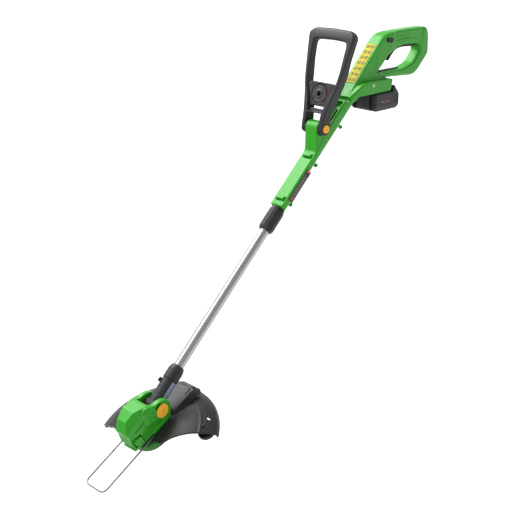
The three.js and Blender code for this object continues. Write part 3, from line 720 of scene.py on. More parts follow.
half_frame = [
    (-17, ARM_OUT), (24, ARM_OUT, 30), (64, 39, 30), (105, 51, 40), (204.5, 64.6, 14), (216, 52, 12),
    (220.5, 0, 60),
]
half_hole = [(33, ARM_IN, 6), (66, 26, 20), (96, 40, 20), (123, 43.5, 30), (190, 46.5, 9), (193, 0, 60)]
frame_outside, frame_inside = Outline(both_sides(half_frame)), Outline(both_sides(half_hole))
bar_side = Outline([
    (-17, 0, 17), (-12, 14, 12), (2, 17, 8), (35, 17.5, 20), (100, 12.5, 30), (203, 10.5, 8),
    (214, 7.5, 6), (220.3, 0, 6), (214, -9, 6), (150, -9, 20), (120, -13, 20), (60, -12, 20),
    (30, -9, 20), (0, -16.5, 8), (-13, -12, 10),
])


def handle_loop(x, y, z):
    """What the frame's plan and the bar's side share, with a crossbar, less the hinge's hollows."""
    side = np.abs(y)
    frame_plan = cut(frame_outside(x, y), frame_inside(x, y), 4.0)
    body = meet(frame_plan, bar_side(x, z), 4.0)
    body = cut(body, np.maximum(side - ARM_IN, x - 31), 1.0)
    crossbar = meet(np.abs(x - 36) - 5, np.maximum(np.abs(z - 1) - 8, side - 25), 1.6)
    body = melt(body, crossbar, 3.0)
    body = press(body, np.where(z < 9, np.abs(x - 103), 9), 1.1, 0.7)
    tooth_gap = np.maximum(15.3 - np.hypot(x, z), (0.1 - np.cos(12 * np.arctan2(z, x))) * 1.4)
    body = cut(body, np.maximum(np.maximum(tooth_gap, side - 22.6), x - 7), 0.3)
    pocket = np.maximum(np.hypot(x, z) - 10.6, 23.8 - side)
    body = cut(body, pocket, 0.8)
    return cut(body, np.hypot(x, z) - PIN_HOLE)


cast("front_loop", HANDLE, handle_loop, (-17, -65, -17), (222, 65, 19), 1.5, "front_handle", DARK,
     ["front_handle_loop"])

# %% [markdown]
# ## Spare spool and its holder
# A spare spool of line clips into a cup in the plate between the handle's arms. The plate is a slab
# of an outline less a round pocket. The spool is nearly a turned shape, but the slots in its face
# follow arcs, so it is a field as well. The line is wound on it with both ends loose.

# %% Spool holder
SPARE_U = 73.0
half_holder = [(46, 21.5, 3), (66, 26.5, 8), (93, 37.6, 5), (99, 27, 3)]
holder_plan = Outline(both_sides(half_holder))


def holder(x, y, z):
    """A cup in a tapering plate: the plate less a round pocket, with a rim left standing round it."""
    reach = np.hypot(x - SPARE_U, y)
    body = meet(holder_plan(x, y), np.maximum(-13 - z, z - 10.5), 1.6)
    body = cut(body, np.maximum(reach - 21.3, -9.6 - z), 1.0)
    body = cut(body, reach - 4)
    return press(body, np.abs(y) + np.where(x > 92, 0, 9), 1.2, 0.8)


cast("holder_cup", HANDLE, holder, (46, -38, -13), (99, 38, 11), 1.1, "front_handle", DARK,
     ["spool_holder"])

# %% Spare spool: turned, with slots pressed into its face
def spool_face(x, y, z):
    """Two thin flanges joined by a hub, less its bore and three slots that follow arcs."""
    reach = np.hypot(x - SPARE_U, y)
    ring = meet(reach - 19.5, np.abs(z - 10) - 1, 0.7)
    hub = meet(reach - 9.2, np.maximum(-9 - z, z - 12.5), 1.0)
    back = meet(reach - 19.5, np.abs(z + 8) - 1, 0.7)
    body = np.minimum(np.minimum(melt(ring, hub, 1.5), back), hub)
    body = cut(body, reach - 5.6, 0.5)
    angle = np.arctan2(y, x - SPARE_U)
    for at in (2.5, 0.6, -1.2):
        turn_by = np.angle(np.exp(1j * (angle - at)))
        arc = np.maximum(np.abs(reach - 14) - 1.1, np.abs(turn_by) * 14 - 5)
        body = cut(body, np.maximum(arc, 5 - z), 0.3)
    return body


cast("spare_reel", HANDLE, spool_face, (53.5, -19.5, -9), (92.5, 19.5, 12.5), 0.9, "spare", SPOOL_GREY,
     ["spare_spool"])

# %% Spare line: wound turns, and two loose ends that peep out


def wound(bench, centre, low, high, inner, outer, pitch):
    """A winding: a tube outline whose outer side is scalloped once per turn of line."""
    steps = int((high - low) / pitch)
    t = np.linspace(0, steps, steps * 6 + 1)
    bulge = 0.5 * pitch * np.abs(np.sin(np.pi * t))
    outside = [(outer - pitch / 2 + b, low + (high - low) * k / steps) for b, k in zip(bulge, t)]
    return turned(bench, "z", centre, [(inner, low), *outside, (inner, high)], sides=72)


points, faces = wound(HANDLE, (SPARE_U, 0, 0), -6.4, 8.4, 10.4, 17.0, 1.65)
build("wound_line", points, faces, "spare", LINE_RED, ["spare_line"], merge=WELD)


def swept(bench, path, radius, sides=12, closed=False):
    """A round tube along a path: at each point the section turns in the plane across the path."""
    path = np.array(path, float)
    ahead = np.roll(path, -1, 0) - np.roll(path, 1, 0) if closed else np.gradient(path, axis=0)
    ahead /= np.linalg.norm(ahead, axis=1)[:, None]
    side = np.cross(ahead, (0.0, 0.0, 1.0))
    side /= np.linalg.norm(side, axis=1)[:, None]
    over = np.cross(side, ahead)
    angle = np.linspace(0, 2 * np.pi, sides, endpoint=False)[None, :, None]
    ring = path[:, None] + radius * (np.cos(angle) * side[:, None] + np.sin(angle) * over[:, None])
    if not closed:
        ring = np.concatenate([path[None, :1].repeat(sides, 1), ring, path[None, -1:].repeat(sides, 1)])
    return bench.world(*np.moveaxis(ring, -1, 0)), grid_faces(len(ring), sides, close_rows=closed)


for number, (start, end) in enumerate(((3.3, 3.9), (4.5, 4.75))):
    a = np.linspace(start, end, 14)
    reach = 20.2 - 2.5 * np.linspace(0, 1, 14)
    ends = np.stack([SPARE_U + reach * np.cos(a), reach * np.sin(a), 8.6 + 0 * a], -1)
    points, faces = swept(HANDLE, ends, 0.8)
    build(f"line_end_{number + 1}", points, faces, "spare", LINE_RED, merge=WELD)

# %% [markdown]
# ## Hinge washers and fold buttons
# The hinge has a toothed dark ring on each side of its green barrel, so the handle can lock in steps.
# A turned ring with a stepped radius gives the teeth. The buttons are eight-sided with a bevelled rim.

# %% Hinge pieces
def toothed(angle, radius, height):
    """Radius plus a square wave of twelve teeth, only near the rim."""
    tooth = np.clip(2.5 * np.cos(12 * angle), -1, 1)
    return np.where(radius > 12, radius + 0.9 * tooth, radius + 0 * angle)


def eight_sided(angle, radius, height):
    """The radius of a regular octagon in each direction, softened a little at its corners."""
    part = np.mod(angle, np.pi / 4) - np.pi / 8
    return radius * (0.94 / np.cos(part) + 0.02)


for side, name in ((-1, "left"), (1, "right")):
    low, high = sorted((side * 17.35, side * 19.65))
    turned_piece(f"toothed_ring_{name}", HANDLE, "y", AXIS, [
        (PIN_HOLE, low), (16.1, low, 0.5), (16.1, high, 0.5), (PIN_HOLE, high),
    ], "housing", BLACK, f"hinge_washer_{name}", sides=144, ripple=toothed)
    inner, outer, dimple = side * 28.0, side * 33.0, side * 32.3
    turned_piece(f"fold_cap_{name}", HANDLE, "y", AXIS, [
        (0, inner), (9.3, inner, 0.3), (9.3, outer, 2.4), (3.0, outer, 0.5), (2.2, dimple, 0.5), (0, dimple),
    ], f"fold_catch_{name}", ORANGE, f"fold_button_{name}", sides=96, ripple=eight_sided)

# %% [markdown]
# ## Shaft and collars
# The tube has a shallow guide groove down each side, which stops it turning as it telescopes. The
# collars are gripped by hand, so their radius is rippled into soft flats.

# %% Tube
TUBE_R = 11.0


def guide_groove(angle, radius, height):
    """The tube's radius with a shallow channel on its left and right sides."""
    across = np.abs(np.cos(angle)) * radius
    channel = np.clip((2.4 - np.minimum(across, 9)) / 0.6, 0, 1)
    return np.where(radius > 10.5, radius - 0.9 * channel, radius)


lower, upper = (-374.0, 118.0)
turned_piece("grooved_tube", SHAFT, "x", AXIS, [
    (9.8, lower), (TUBE_R, lower, 0.4), (TUBE_R, upper, 0.4), (9.8, upper),
], "shaft", ALUMINIUM, "shaft_tube", sides=160, ripple=guide_groove)

# %% Collars
def soft_flats(angle, radius, height):
    """Eight shallow flats round a collar, with a fine groove between each pair."""
    part = np.mod(angle + np.pi / 8, np.pi / 4) - np.pi / 8
    flat = 1 - 0.035 * (1 - np.cos(8 * part)) / 2
    groove = 0.03 * np.exp(-(part / 0.05) ** 2)
    return np.where(radius > 13, radius * (flat - groove), radius + 0 * angle)


turned_piece("twist_collar", SHAFT, "x", AXIS, [
    (11.3, 0), (14.6, 0, 1), (16.6, 4.5, 2), (17.5, 8, 2), (17.5, 50, 2), (16.6, 54.6, 1.5), (11.3, 54.6),
], "collar", DARK, "lock_collar", sides=192, ripple=soft_flats)


def split_ring(angle, radius, height):
    """A clamp split: a fine slot along the collar on one side."""
    part = np.abs(np.angle(np.exp(1j * (angle + 2.0))))
    return np.where(radius > 12.5, radius - 0.9 * np.exp(-(part / 0.05) ** 2), radius)


turned_piece("tube_socket", SHAFT, "x", AXIS, [
    (11.3, -384), (17, -384, 1.2), (17, -360, 3), (13.6, -350, 1.5), (11.3, -350),
], "shaft", DARK, "lower_collar", sides=144, ripple=split_ring)

# %% [markdown]
# ## Neck and swivel button
# The neck is a round bar below the tube's collar, filleted into a hub that lies across it for the
# tilt pin.
# The swivel button is a short plug that leans halfway between the front and the right-hand side. Its
# hole and the plug read the same leaning coordinates, so one always fits the other.

# %% Neck, drawn from the tilt axis
NECK_START = -447.0
NECK_END = -384.3
NECK_OUT = 16.0
SWIVEL_X = -393.3


def leaning(y, z):
    """How far out a point is along the swivel button's direction, and how far to one side of it."""
    return (y + z) / math.sqrt(2), (y - z) / math.sqrt(2)


def neck(x, y, z):
    """A tube melted into a hub that crosses it, with two grooves, less the pin's and plug's holes."""
    tube = meet(np.hypot(y, z) - NECK_OUT, np.maximum(NECK_START - x, x - NECK_END), 1.5)
    hub = meet(np.hypot(x - NECK_START, z) - NECK_OUT, np.abs(y) - 16.6, 1.5)
    body = melt(tube, hub, 1.0)
    for at in (-424, -409):
        body = press(body, np.abs(x - at), 1.3, 0.8)
    body = cut(body, np.hypot(x - NECK_START, z) - 4.4)
    out, across = leaning(y, z)
    return cut(body, np.maximum(np.hypot(x - SWIVEL_X, across) - 5.4, 8 - out), 0.5)


cast("neck_moulding", SHAFT, neck, (-463, -16.6, -16), (-384, 16.6, 16), 1.0, "neck_hub", DARK,
     ["neck"])

# %% Swivel button
def swivel_plug(x, y, z):
    """A short leaning rod with rounded rims and a ring pressed into its outer end."""
    out, across = leaning(y, z)
    reach = np.hypot(x - SWIVEL_X, across)
    body = meet(reach - 4.9, np.maximum(11.6 - out, out - 21.8), 1.2)
    return press(body, np.hypot(reach - 2.4, out - 22), 0.9, 0.5)


cast("swivel_plug", SHAFT, swivel_plug, (-398.4, 4.4, 4.4), (-388.2, 19.2, 19.2), 0.6, "swivel_catch",
     BLACK, ["swivel_button"])

# %% [markdown]
# ## Cutting head
# The head is a faceted green cap. Its nose is a side outline, a plan and a front outline, all meeting,
# and each rim is rounded. One sloping plane on each cheek leaves a raised rail above the air slit. Two
# round ears carry the tilt buttons and a slot between them takes the neck.

# %% Head shell
SPOOL_X = -38.0
FLOOR_Z = -28.0
EAR_R, EAR_OUT, EAR_IN = 24.0, 28.5, 17.2
head_side = Outline([
    (-8, FLOOR_Z), (-8, 24, 6), (-18, 35, 8), (-50, 47, 2), (-76, 40, 1.5), (-90, 17, 1.5), (-88.5, 5, 6),
    (-93, -18, 4), (-89, FLOOR_Z),
])
head_plan = Outline(both_sides([(20, 27), (-50, 27, 8), (-94, 19, 2)]))
head_front = Outline([(-27, -40), (27, -40), (27, 17, 8), (18.5, 49, 4), (-18.5, 49, 4), (-27, 17, 8)])
rail_side = Outline([
    (8, 21, 6), (-8, 26, 10), (-30, 39.5, 6), (-89, 15.5, 3), (-89, 9, 2), (-46, 18, 6), (-6, 0, 4),
])
ear_side = Outline([(-40, FLOOR_Z), (10, FLOOR_Z, 2), (23, -7, 4), (0, 0), (-8, 23), (-40, 30)])
cheek_hollow = Outline([(-8, -23, 3), (-12, -13, 3), (-38, 1, 4), (-60, -5, 4), (-62, -22, 4)])
air_slit = Outline([(-72, 9), (-45, 15)], closed=False)


def head(x, y, z):
    """Nose and ears melted together, then the cheek planes, slits, slot and windows are taken out."""
    side = np.abs(y)
    nose = meet(meet(head_side(x, z), head_plan(x, y), 1.6), head_front(y, z), 1.6)
    cheek = -0.253 * (x + 50) + 0.911 * (side - 17) + 0.327 * (z - 48)
    rail = (40 + 0.431 * (x + 30) - z) * 0.92
    nose = cut(nose, np.maximum(-cheek, rail), 0.7)
    rail_half = 28.3 - 0.1 * np.clip(-x - 10, 0, 90)
    nose = np.minimum(nose, meet(rail_side(x, z), side - rail_half, 1.4))
    ear = np.minimum(np.hypot(x, z) - EAR_R, ear_side(x, z))
    ear = meet(ear, np.abs(side - (EAR_IN + EAR_OUT) / 2) - (EAR_OUT - EAR_IN) / 2, 1.6)
    body = melt(nose, ear, 6.0)
    body = cut(body, np.maximum(cheek_hollow(x, z), 23.2 - side), 1.5)
    body = cut(body, np.maximum(air_slit(x, z) - 1.2, 13.0 - side), 0.3)
    slot = np.minimum(np.maximum(-17.2 - x, -3 - z), np.hypot(x, z) - 17.0)
    body = cut(body, np.maximum(side - EAR_IN, slot), 1.2)
    body = cut(body, np.maximum(np.hypot(x, z) - 16.0, 20.5 - side), 0.4)
    body = cut(body, np.hypot(x, z) - 4.3)
    reach = np.hypot(x - SPOOL_X, y)
    body = cut(body, np.minimum(np.maximum(reach - 18.6, z - 31.4), np.maximum(reach - 14.6, z - 35)))
    body = cut(body, box(x, y, z, (-88, -12, -60), (SPOOL_X, 12, 8)))
    return cut(body, box(x, y, z, (-87.5, -40, -25.5), (-64.5, -14, -2.5), 1.5), 0.3)


cast("head_cap", HEAD, head, (-93.5, -28.5, -28), (24, 28.5, 47.6), 1.0, "head", GREEN,
     ["head_shell"])

# %% [markdown]
# ## Base plate, catch and tilt buttons
# A flat plate closes the head from below and holds the wire guard's pivot in a round channel. The
# catch is a bevelled block on the left cheek. The tilt buttons are discs with a ring pressed into
# them, so each is a short rod with its rim rounded. They mirror each other, so one function makes both.

# %% Head base, catch and tilt buttons
WIRE_PIVOT, WIRE_Z = -45.0, -30.65
base_plan = Outline(both_sides([(10, 27, 4), (-41, 27, 2), (-46, 24.5, 2), (-92.8, 18.5, 3)]))
catch_side = Outline([(-86, -6, 2), (-81, -4, 2), (-66, -7, 2), (-67, -24, 2), (-80, -24, 2), (-86, -16, 2)])


def head_base(x, y, z):
    """A plate of the plan, less the drive shaft's hole and a channel for each end of the wire."""
    body = meet(base_plan(x, y), np.maximum(-33 - z, z + 28.3), 1.0)
    body = cut(body, np.hypot(x - SPOOL_X, y) - 9)
    return cut(body, np.maximum(np.hypot(x - WIRE_PIVOT, z - WIRE_Z) - 2.15, 20 - np.abs(y)))


def catch(x, y, z):
    """A slab of the outline, less what lies beyond one sloping plane."""
    body = meet(catch_side(x, z), np.maximum(-26 - y, y + 18), 1.2)
    upper_bevel = (z + 5.5) * 0.66 - (y + 26) * 0.75 - 0.6
    return np.maximum(body, upper_bevel)


cast("head_plate", HEAD, head_base, (-93, -27, -33), (10, 27, -28.3), 1.0, "head", GREEN,
     ["head_base"])
cast("catch_block", HEAD, catch, (-86, -26, -24), (-66, -18, -4), 0.7, "head_catch", GREEN,
     ["release_catch"])


def tilt_button(sign):
    """The field of one tilt button; sign is -1 for the left one and 1 for the right one."""
    def field(x, y, z):
        """A disc with a rounded rim and a ring pressed into it, less a small hole."""
        out = sign * y
        body = meet(np.hypot(x, z) - 15.5, np.maximum(25 - out, out - 29.8), 1.1)
        body = press(body, np.hypot(np.hypot(x, z) - 11.2, out - 30.2), 1.2, 0.7)
        return cut(body, np.maximum(np.hypot(x - 1.5, z + 1) - 2.0, 26 - out), 0.4)
    return field


for sign, name in ((-1, "left"), (1, "right")):
    low, high = sorted((sign * 25.0, sign * 29.8))
    cast(f"tilt_cap_{name}", HEAD, tilt_button(sign), (-15.5, low, -15.5), (15.5, high, 15.5), 0.7,
         f"tilt_catch_{name}", ORANGE, [f"tilt_button_{name}"])

# %% [markdown]
# ## Guard
# The guard is a thin skirt: a flaring line turned about the spool's axis and cut off along two slants.
# Its distance is measured to that line in radius and height, so the wall keeps one thickness. A bead
# runs round the rim and a raised tongue runs back over the top.

# %% Guard
TOP = -33.3
WHEEL_X, WHEEL_Y = 31.0, -95.0
TONGUE_SLOTS = (  # each has its corners, its own edge radius and its rim's
    ((66, -18, -45), (84, -16, -20), 0.3, 0.0),
    ((88, -24, -60), (93, -12, -20), 0.5, 0.0),
    ((50, -92, -70), (54, -84, -30), 1.0, 0.5),
)
HEM_NOTCHES = ((100, -52), (120, -62))
flare = [(14, 0), (52, 0), (80, 4), (105, 11), (128, 22), (142, 34), (144, 43)]
under = [(141.3, 43), (139.7, 35.5), (126, 24.6), (103.5, 13.8), (79, 6.8), (51, 2.7), (14, 2.7)]
skirt_line = Outline([(r, TOP - d, 20 if 40 < r < 140 else 0) for r, d in flare + under])
keep_plan = Outline([(-66, 200), (200, 200), (200, -200), (105, -199), (23, -112, 30), (-8, -80, 20),
                     (-31, -63, 8), (-52, -55, 5), (-55, -26, 4), (-66, -22)])
tongue_side = Outline([(16, TOP), (24, TOP + 3, 3), (86, TOP + 3, 6), (100, TOP - 12, 3), (96, TOP - 23),
                       (66, TOP - 12), (40, TOP - 5), (16, TOP - 1)])


def guard(x, y, z):
    """Skirt, rim bead and tongue, kept inside the plan, with slots, a vent and the wheel's stud."""
    reach = np.hypot(x - SPOOL_X, y)
    body = skirt_line(reach, z)
    bead = np.hypot(reach - 141.9, z - (TOP - 40.8)) - 2.0
    body = melt(body, bead, 1.0)
    rib = np.maximum(np.hypot(reach - 112, z - (TOP - 15.5)) - 2.4, 30 - np.abs(y))
    body = melt(body, rib, 2.0)
    hem = np.minimum.reduce([skirt_line(reach, z + lift) for lift in (2.4, 4.8, 7.2, 9.6)])
    hem = np.maximum(np.maximum(hem, x + 62.5), 70 - y)
    body = melt(body, hem, 1.0)
    tongue = cut(meet(tongue_side(x, z), np.abs(y) - 26, 2.0), np.hypot(x + 28, y) - 30, 1.0)
    body = melt(body, tongue, 2.5)
    body = meet(body, keep_plan(x, y), 1.0)
    for low, high, edge, rim in TONGUE_SLOTS:
        body = cut(body, box(x, y, z, low, high, edge), rim)
    for at, top in HEM_NOTCHES:
        body = cut(body, box(x, y, z, (-70, at - 4, -90), (-61, at + 4, top), 0.5))
    stud = meet(np.hypot(x - WHEEL_X, y - WHEEL_Y) - 3, np.maximum(-76.4 - z, z + 46), 0.4)
    return np.minimum(body, stud)


cast("guard_skirt", HEAD, guard, (-66, -144, -76.4), (106, 144, -30.2), 1.35,
     "head", GUARD_GREY, ["guard"])

# %% [markdown]
# ## Edging wheel
# The wheel rolls along a lawn's edge on a stud under the guard. It is one moulding with a hub, a thin
# web and a rim, so it is a single profile turned about the stud.

# %% Edge wheel
turned_piece("rolling_wheel", HEAD, "z", (WHEEL_X, WHEEL_Y, 0), [
    (3.5, -74.4), (8, -74.4, 0.5), (8, -73, 0.5), (15, -73, 0.5), (15, -74.4, 0.5), (19, -74.4, 1.5),
    (19, -66.6, 1.5), (15, -66.6, 0.5), (15, -68, 0.5), (8, -68, 0.5), (8, -66.6, 0.5), (3.5, -66.6),
], "wheel", BLACK, "edge_wheel", sides=96)

# %% [markdown]
# ## Wire guard, spool and line
# The wire guard is one bent rod, so it is a circle swept along its centre line. The spool's cover, reel
# and knob are turned. The winding shows each turn of the line as a small bulge.

# %% Wire guard
WIRE_HALF = 29.5
WIRE_TIP = -199.0
bends = rounded([
    (WIRE_PIVOT, -21), (WIRE_PIVOT, -WIRE_HALF, 3), (WIRE_TIP, -WIRE_HALF, 13), (WIRE_TIP, WIRE_HALF, 13),
    (WIRE_PIVOT, WIRE_HALF, 3), (WIRE_PIVOT, 21),
], steps=12)
centre_line = np.concatenate([bends, np.full((len(bends), 1), WIRE_Z)], 1)
points, faces = swept(HEAD, centre_line, 1.72, sides=16)
crisp(build("bent_wire", points, faces, "wire", STEEL, ["wire_guard"], merge=WELD))

# %% Spool


def finger_grips(angle, radius, height):
    """The cover's radius with sixteen shallow thumb hollows on its outside."""
    hollow = 0.35 * (1 - np.cos(16 * angle))
    return np.where(radius > 40, radius - hollow, radius + 0 * angle)


spool_top = -37.7
middle = (SPOOL_X, 0, spool_top)
turned_piece("spool_cup", HEAD, "z", middle, [
    (2.9, 0), (41, 0, 2), (42, -3, 1), (42, -15, 4), (38, -21, 4), (20, -21, 0.5), (20, -18.5, 0.5),
    (36.5, -18.5, 2), (39.5, -14, 2), (39.5, -2.5, 1), (2.9, -2.5),
], "spool", DEEP_GREEN, "spool_cover", sides=160, ripple=finger_grips)
turned_piece("reel_core", HEAD, "z", middle, [
    (3.2, -13.5), (12, -13.5), (12, -7), (36, -7, 0.4), (36, -8.3, 0.4), (16, -8.3), (16, -16.7),
    (36, -16.7, 0.4), (36, -18, 0.4), (3.2, -18),
], "reel", BLACK, "line_reel", sides=96)
points, faces = wound(HEAD, (SPOOL_X, 0, 0), spool_top - 16.4, spool_top - 8.6, 16.3, 34, 1.56)
build("cutting_turns", points, faces, "reel", LINE_RED, ["cutting_line"], merge=WELD)


def knob_grips(angle, radius, height):
    """The knob's radius with ten rounded flutes near its rim."""
    return np.where(radius > 14, radius - 0.5 * (1 - np.cos(10 * angle)), radius + 0 * angle)


turned_piece("knob_cap", HEAD, "z", middle, [
    (0, -18.4), (19, -18.4, 0.5), (19, -24, 3), (15, -29, 4), (8, -30.4, 4), (0, -30.4),
], "reel", BLACK, "bump_knob", sides=120, ripple=knob_grips)

# %% [markdown]
# ## Printed labels
# The labels are stickers, so their marks are paint and not shape. Each mark is a sum about the sticker's
# own coordinates: a ring is where the distance from a cell's middle is near a radius, and a bar is
# where a height repeats. They stand for generic safety pictures and ratings, with no words in them.

# %% Label nodes


class Marks:
    """Small arithmetic on one material's object coordinates, in millimetres."""

    def __init__(self, name, roughness=0.35):
        self.material, self.shader, self.add, self.link = new_material(name)
        self.shader.inputs["Roughness"].default_value = roughness
        self.shader.inputs["Specular IOR Level"].default_value = 0.25
        split = self.add("ShaderNodeSeparateXYZ")
        self.link(self.add("ShaderNodeTexCoord").outputs["Object"], split.inputs[0])
        self.x, self.y, self.z = (self.sum("MULTIPLY", axis, 1000.0) for axis in split.outputs)

    def sum(self, operation, *values):
        """One Math node; its inputs are numbers or other nodes' outputs."""
        node = self.add("ShaderNodeMath", operation=operation)
        for socket, value in zip(node.inputs, values):
            if isinstance(value, (int, float)):
                socket.default_value = value
            else:
                self.link(value, socket)
        return node.outputs[0]

    def both(self, *masks):
        """1 where every mask is 1: their product."""
        product = masks[0]
        for mask in masks[1:]:
            product = self.sum("MULTIPLY", product, mask)
        return product

    def near(self, value, centre, half):
        """1 where value is within half of centre."""
        away = self.sum("ABSOLUTE", self.sum("SUBTRACT", value, centre))
        return self.sum("LESS_THAN", away, half)

    def repeat(self, value, start, step):
        """Distance from the middle of each repeated cell."""
        part = self.sum("FRACT", self.sum("DIVIDE", self.sum("SUBTRACT", value, start), step))
        return self.sum("MULTIPLY", self.sum("SUBTRACT", part, 0.5), step)

    def paint(self, layers, base):
        """Puts each (mask, colour) layer over the ones before it."""
        colour = (*base, 1.0)
        for mask, tint in layers:
            colour = blend(self.add, self.link, mask, colour, (*tint, 1.0))
        self.link(colour, self.shader.inputs["Base Color"])
        return self.material


# %% Pictogram label: a row of dark rings, each with a bar inside
mark = Marks("pictogram_print", roughness=0.6)
cell_x = mark.repeat(mark.x, -206.0, 15.7)
column = mark.sum("SUBTRACT", mark.sum("ABSOLUTE", mark.y), 5.6)
square = [mark.sum("MULTIPLY", value, value) for value in (cell_x, column)]
ring = mark.near(mark.sum("SQRT", mark.sum("ADD", *square)), 4.1, 0.9)
bar = mark.both(mark.near(cell_x, 0.0, 0.9), mark.near(column, 0.0, 2.4))
dots = mark.both(mark.near(cell_x, 0.0, 2.2), mark.near(column, -0.6, 0.8))
gap = mark.both(mark.near(mark.sum("ABSOLUTE", cell_x), 7.85, 0.5), mark.near(mark.y, 0.0, 10.5))
INK = (0.03, 0.028, 0.02)
PICTOGRAM = mark.paint([(ring, INK), (bar, INK), (dots, INK), (gap, INK)], (0.60, 0.50, 0.015))

# %% Rating label: pale bars with an orange patch at its upper end
mark = Marks("rating_print")
slanted = mark.sum("ADD", mark.x, mark.sum("MULTIPLY", mark.z, 0.35))
rows = mark.near(mark.repeat(mark.z, 46.0, 4.6), 0.0, 0.8)
stretches = mark.sum("GREATER_THAN", mark.sum("ABSOLUTE", mark.repeat(slanted, -520.0, 7.5)), 0.9)
middle_part = mark.near(mark.x, -480.0, 30.0)
bars = mark.both(rows, stretches, middle_part)
patch = mark.both(mark.near(slanted, -417.45, 6.0), mark.near(mark.z, 53.0, 5.0))
edge = mark.both(mark.near(mark.x, -514.0, 2.0), mark.near(mark.z, 53.0, 5.0))
RATING = mark.paint([(bars, (0.32, 0.30, 0.30)), (patch, (0.75, 0.10, 0.02)), (edge, (0.55, 0.08, 0.03))],
                    (0.035, 0.034, 0.036))


# %% Decals on the battery and the neck
def decal(name, bench, corners, body, finish):
    """A thin sheet through four corners, split into a grid so that it shades evenly."""
    corners = np.array(corners, float)
    s = np.linspace(0, 1, 9)[:, None, None]
    t = np.linspace(0, 1, 5)[None, :, None]
    sheet = (1 - s) * ((1 - t) * corners[0] + t * corners[1]) + s * ((1 - t) * corners[3] + t * corners[2])
    faces = grid_faces(9, 5, close_columns=False)
    return build(name, bench.world(*np.moveaxis(sheet, -1, 0)), faces, body, finish)


mark = Marks("battery_print")
shift_x, shift_z = mark.sum("ADD", mark.x, 221.0), mark.sum("SUBTRACT", mark.z, 52.0)
along = mark.sum("SUBTRACT", mark.sum("MULTIPLY", shift_x, 0.7314), mark.sum("MULTIPLY", shift_z, 0.6820))
rise = mark.sum("ADD", mark.sum("MULTIPLY", shift_x, 0.6820), mark.sum("MULTIPLY", shift_z, 0.7314))
dashes = mark.near(mark.repeat(along, 52.0, 5.0), 0.0, 2.0)


def printed_row(height, start, end):
    """A row of dashes at one height between two places along the battery."""
    span = mark.near(along, (start + end) / 2, (end - start) / 2)
    return mark.both(dashes, span, mark.near(rise, height, 1.5))


BATTERY_PRINT = mark.paint([
    (printed_row(-17.0, 52, 68), (0.72, 0.30, 0.03)), (printed_row(-17.0, 68, 82), (0.40, 0.40, 0.41)),
    (printed_row(-17.0, 82, 98), (0.72, 0.30, 0.03)), (printed_row(-20.6, 66, 80), (0.40, 0.40, 0.41)),
    (printed_row(-22.4, 86, 98), (0.75, 0.08, 0.04)), (printed_row(-25.0, 54, 62), (0.55, 0.05, 0.03)),
], (0.023, 0.0235, 0.025))
decal("battery_decal", BATTERY, [
    (50, -36.98, -27), (50, -36.98, -14), (104, -36.98, -14), (104, -36.98, -27),
], "battery", BATTERY_PRINT)
WHITE_PRINT = moulded("white_sticker", (0.75, 0.75, 0.75), roughness=0.3)
decal("flank_sticker", BATTERY, [
    (37, -34.03, 17), (37, -34.03, 22.5), (42.5, -34.03, 22.5), (42.5, -34.03, 17),
], "housing", WHITE_PRINT)

mark = Marks("neck_print")
NECK_PRINT = mark.paint([
    (mark.near(mark.repeat(mark.x, -1040.0, 6.0), 0.0, 1.6), (0.20, 0.24, 0.45)),
    (mark.near(mark.x, -1030.0, 1.5), (0.4, 0.1, 0.1)),
], (0.25, 0.26, 0.30))
around = np.radians(np.linspace(-112, -70, 9))[None, :]
down = np.linspace(-424, -386, 9)[:, None]
points = SHAFT.world(down + 0 * around, 16.05 * np.sin(around) + 0 * down, 16.05 * np.cos(around) + 0 * down)
build("neck_decal", points, grid_faces(9, 9, close_columns=False), "neck_hub", NECK_PRINT)

# %% [markdown]
# ## Pieces that stay as they are
# What is inside the housings, and small plain pins and screws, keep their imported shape. Each still gets
# the finish of what it is really made from.

# %% Finishes for the plain pieces
plain = {
    "pictogram_label": PICTOGRAM, "rating_label": RATING, "loop_strip": RUBBER, "control_board": COPPER_BOARD,
    "cell_pack": CELL_WRAP, "power_lead": RUBBER, "switch_box": BLACK, "terminal_block": BLACK,
    "shaft_bush": BLACK,
}
steel = ("trigger_pin", "front_hinge_bolt", "motor", "tilt_pin", "drive_shaft", "line_cutter")
plain.update({name: STEEL for name in steel})
plain.update({f"shell_screw_{number}": STEEL for number in (1, 2, 3, 4)})
for name, finish in plain.items():
    mesh = bpy.data.objects[name].data
    mesh.materials.clear()
    mesh.materials.append(finish)
print("finished", len(plain), "plain pieces")

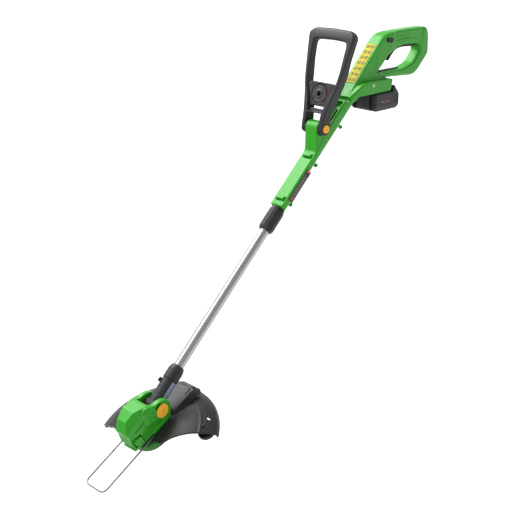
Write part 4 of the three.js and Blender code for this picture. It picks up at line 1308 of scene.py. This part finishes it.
# %% [markdown]
# ## Light and floor
# A broad soft panel behind and above the tool rakes over everything that faces up, which is why the
# upper faces look pale. Two smaller ones fill in behind the grip and in front of the head, and the
# white room fills the sides. The white floor lies well below, so the tool
# seems to float and casts hardly any shadow.

# %% World, panel and floor
world = bpy.data.worlds.new("white_room")
world.use_nodes = True
world.node_tree.nodes["Background"].inputs["Color"].default_value = (1.0, 1.0, 1.0, 1.0)
world.node_tree.nodes["Background"].inputs["Strength"].default_value = 0.40
bpy.context.scene.world = world


def panel(name, direction, distance, size, power):
    """A square light that faces the middle of the tool from a direction."""
    light = bpy.data.lights.new(name, "AREA")
    light.size = size
    light.energy = power
    lamp = bpy.data.objects.new(name, light)
    back = np.array(direction, float) / np.linalg.norm(direction)
    side = np.cross((0.0, 1.0, 0.0), back)
    side /= np.linalg.norm(side)
    turn = Matrix((side, np.cross(back, side), back)).transposed().to_4x4()
    turn.translation = np.array((-0.6, 0.0, 0.03)) + distance * back
    lamp.matrix_world = turn
    bpy.context.scene.collection.objects.link(lamp)


panel("back_panel", (0.24, 0.62, 0.75), 3.0, 2.4, 88.0)
panel("low_back_panel", (0.62, 0.60, 0.52), 3.0, 1.8, 78.0)
panel("front_panel", (-0.8, -0.30, 0.9), 3.0, 1.6, 36.0)

floor_material, floor_shader, _, _ = new_material("white_floor")
floor_shader.inputs["Base Color"].default_value = (0.60, 0.60, 0.60, 1.0)
floor_shader.inputs["Roughness"].default_value = 0.9
floor_shader.inputs["Emission Color"].default_value = (1.0, 1.0, 1.0, 1.0)
floor_shader.inputs["Emission Strength"].default_value = 0.42
floor_mesh = bpy.data.meshes.new("floor")
FLOOR_AT = -0.65
floor_corners = [(x, y, FLOOR_AT) for x, y in ((-7, -7), (6, -7), (6, 7), (-7, 7))]
floor_mesh.from_pydata(floor_corners, [], [(0, 1, 2, 3)])
floor_mesh.materials.append(floor_material)
floor = bpy.data.objects.new("floor", floor_mesh)
bpy.context.scene.collection.objects.link(floor)
bpy.context.scene.view_settings.view_transform = "Standard"
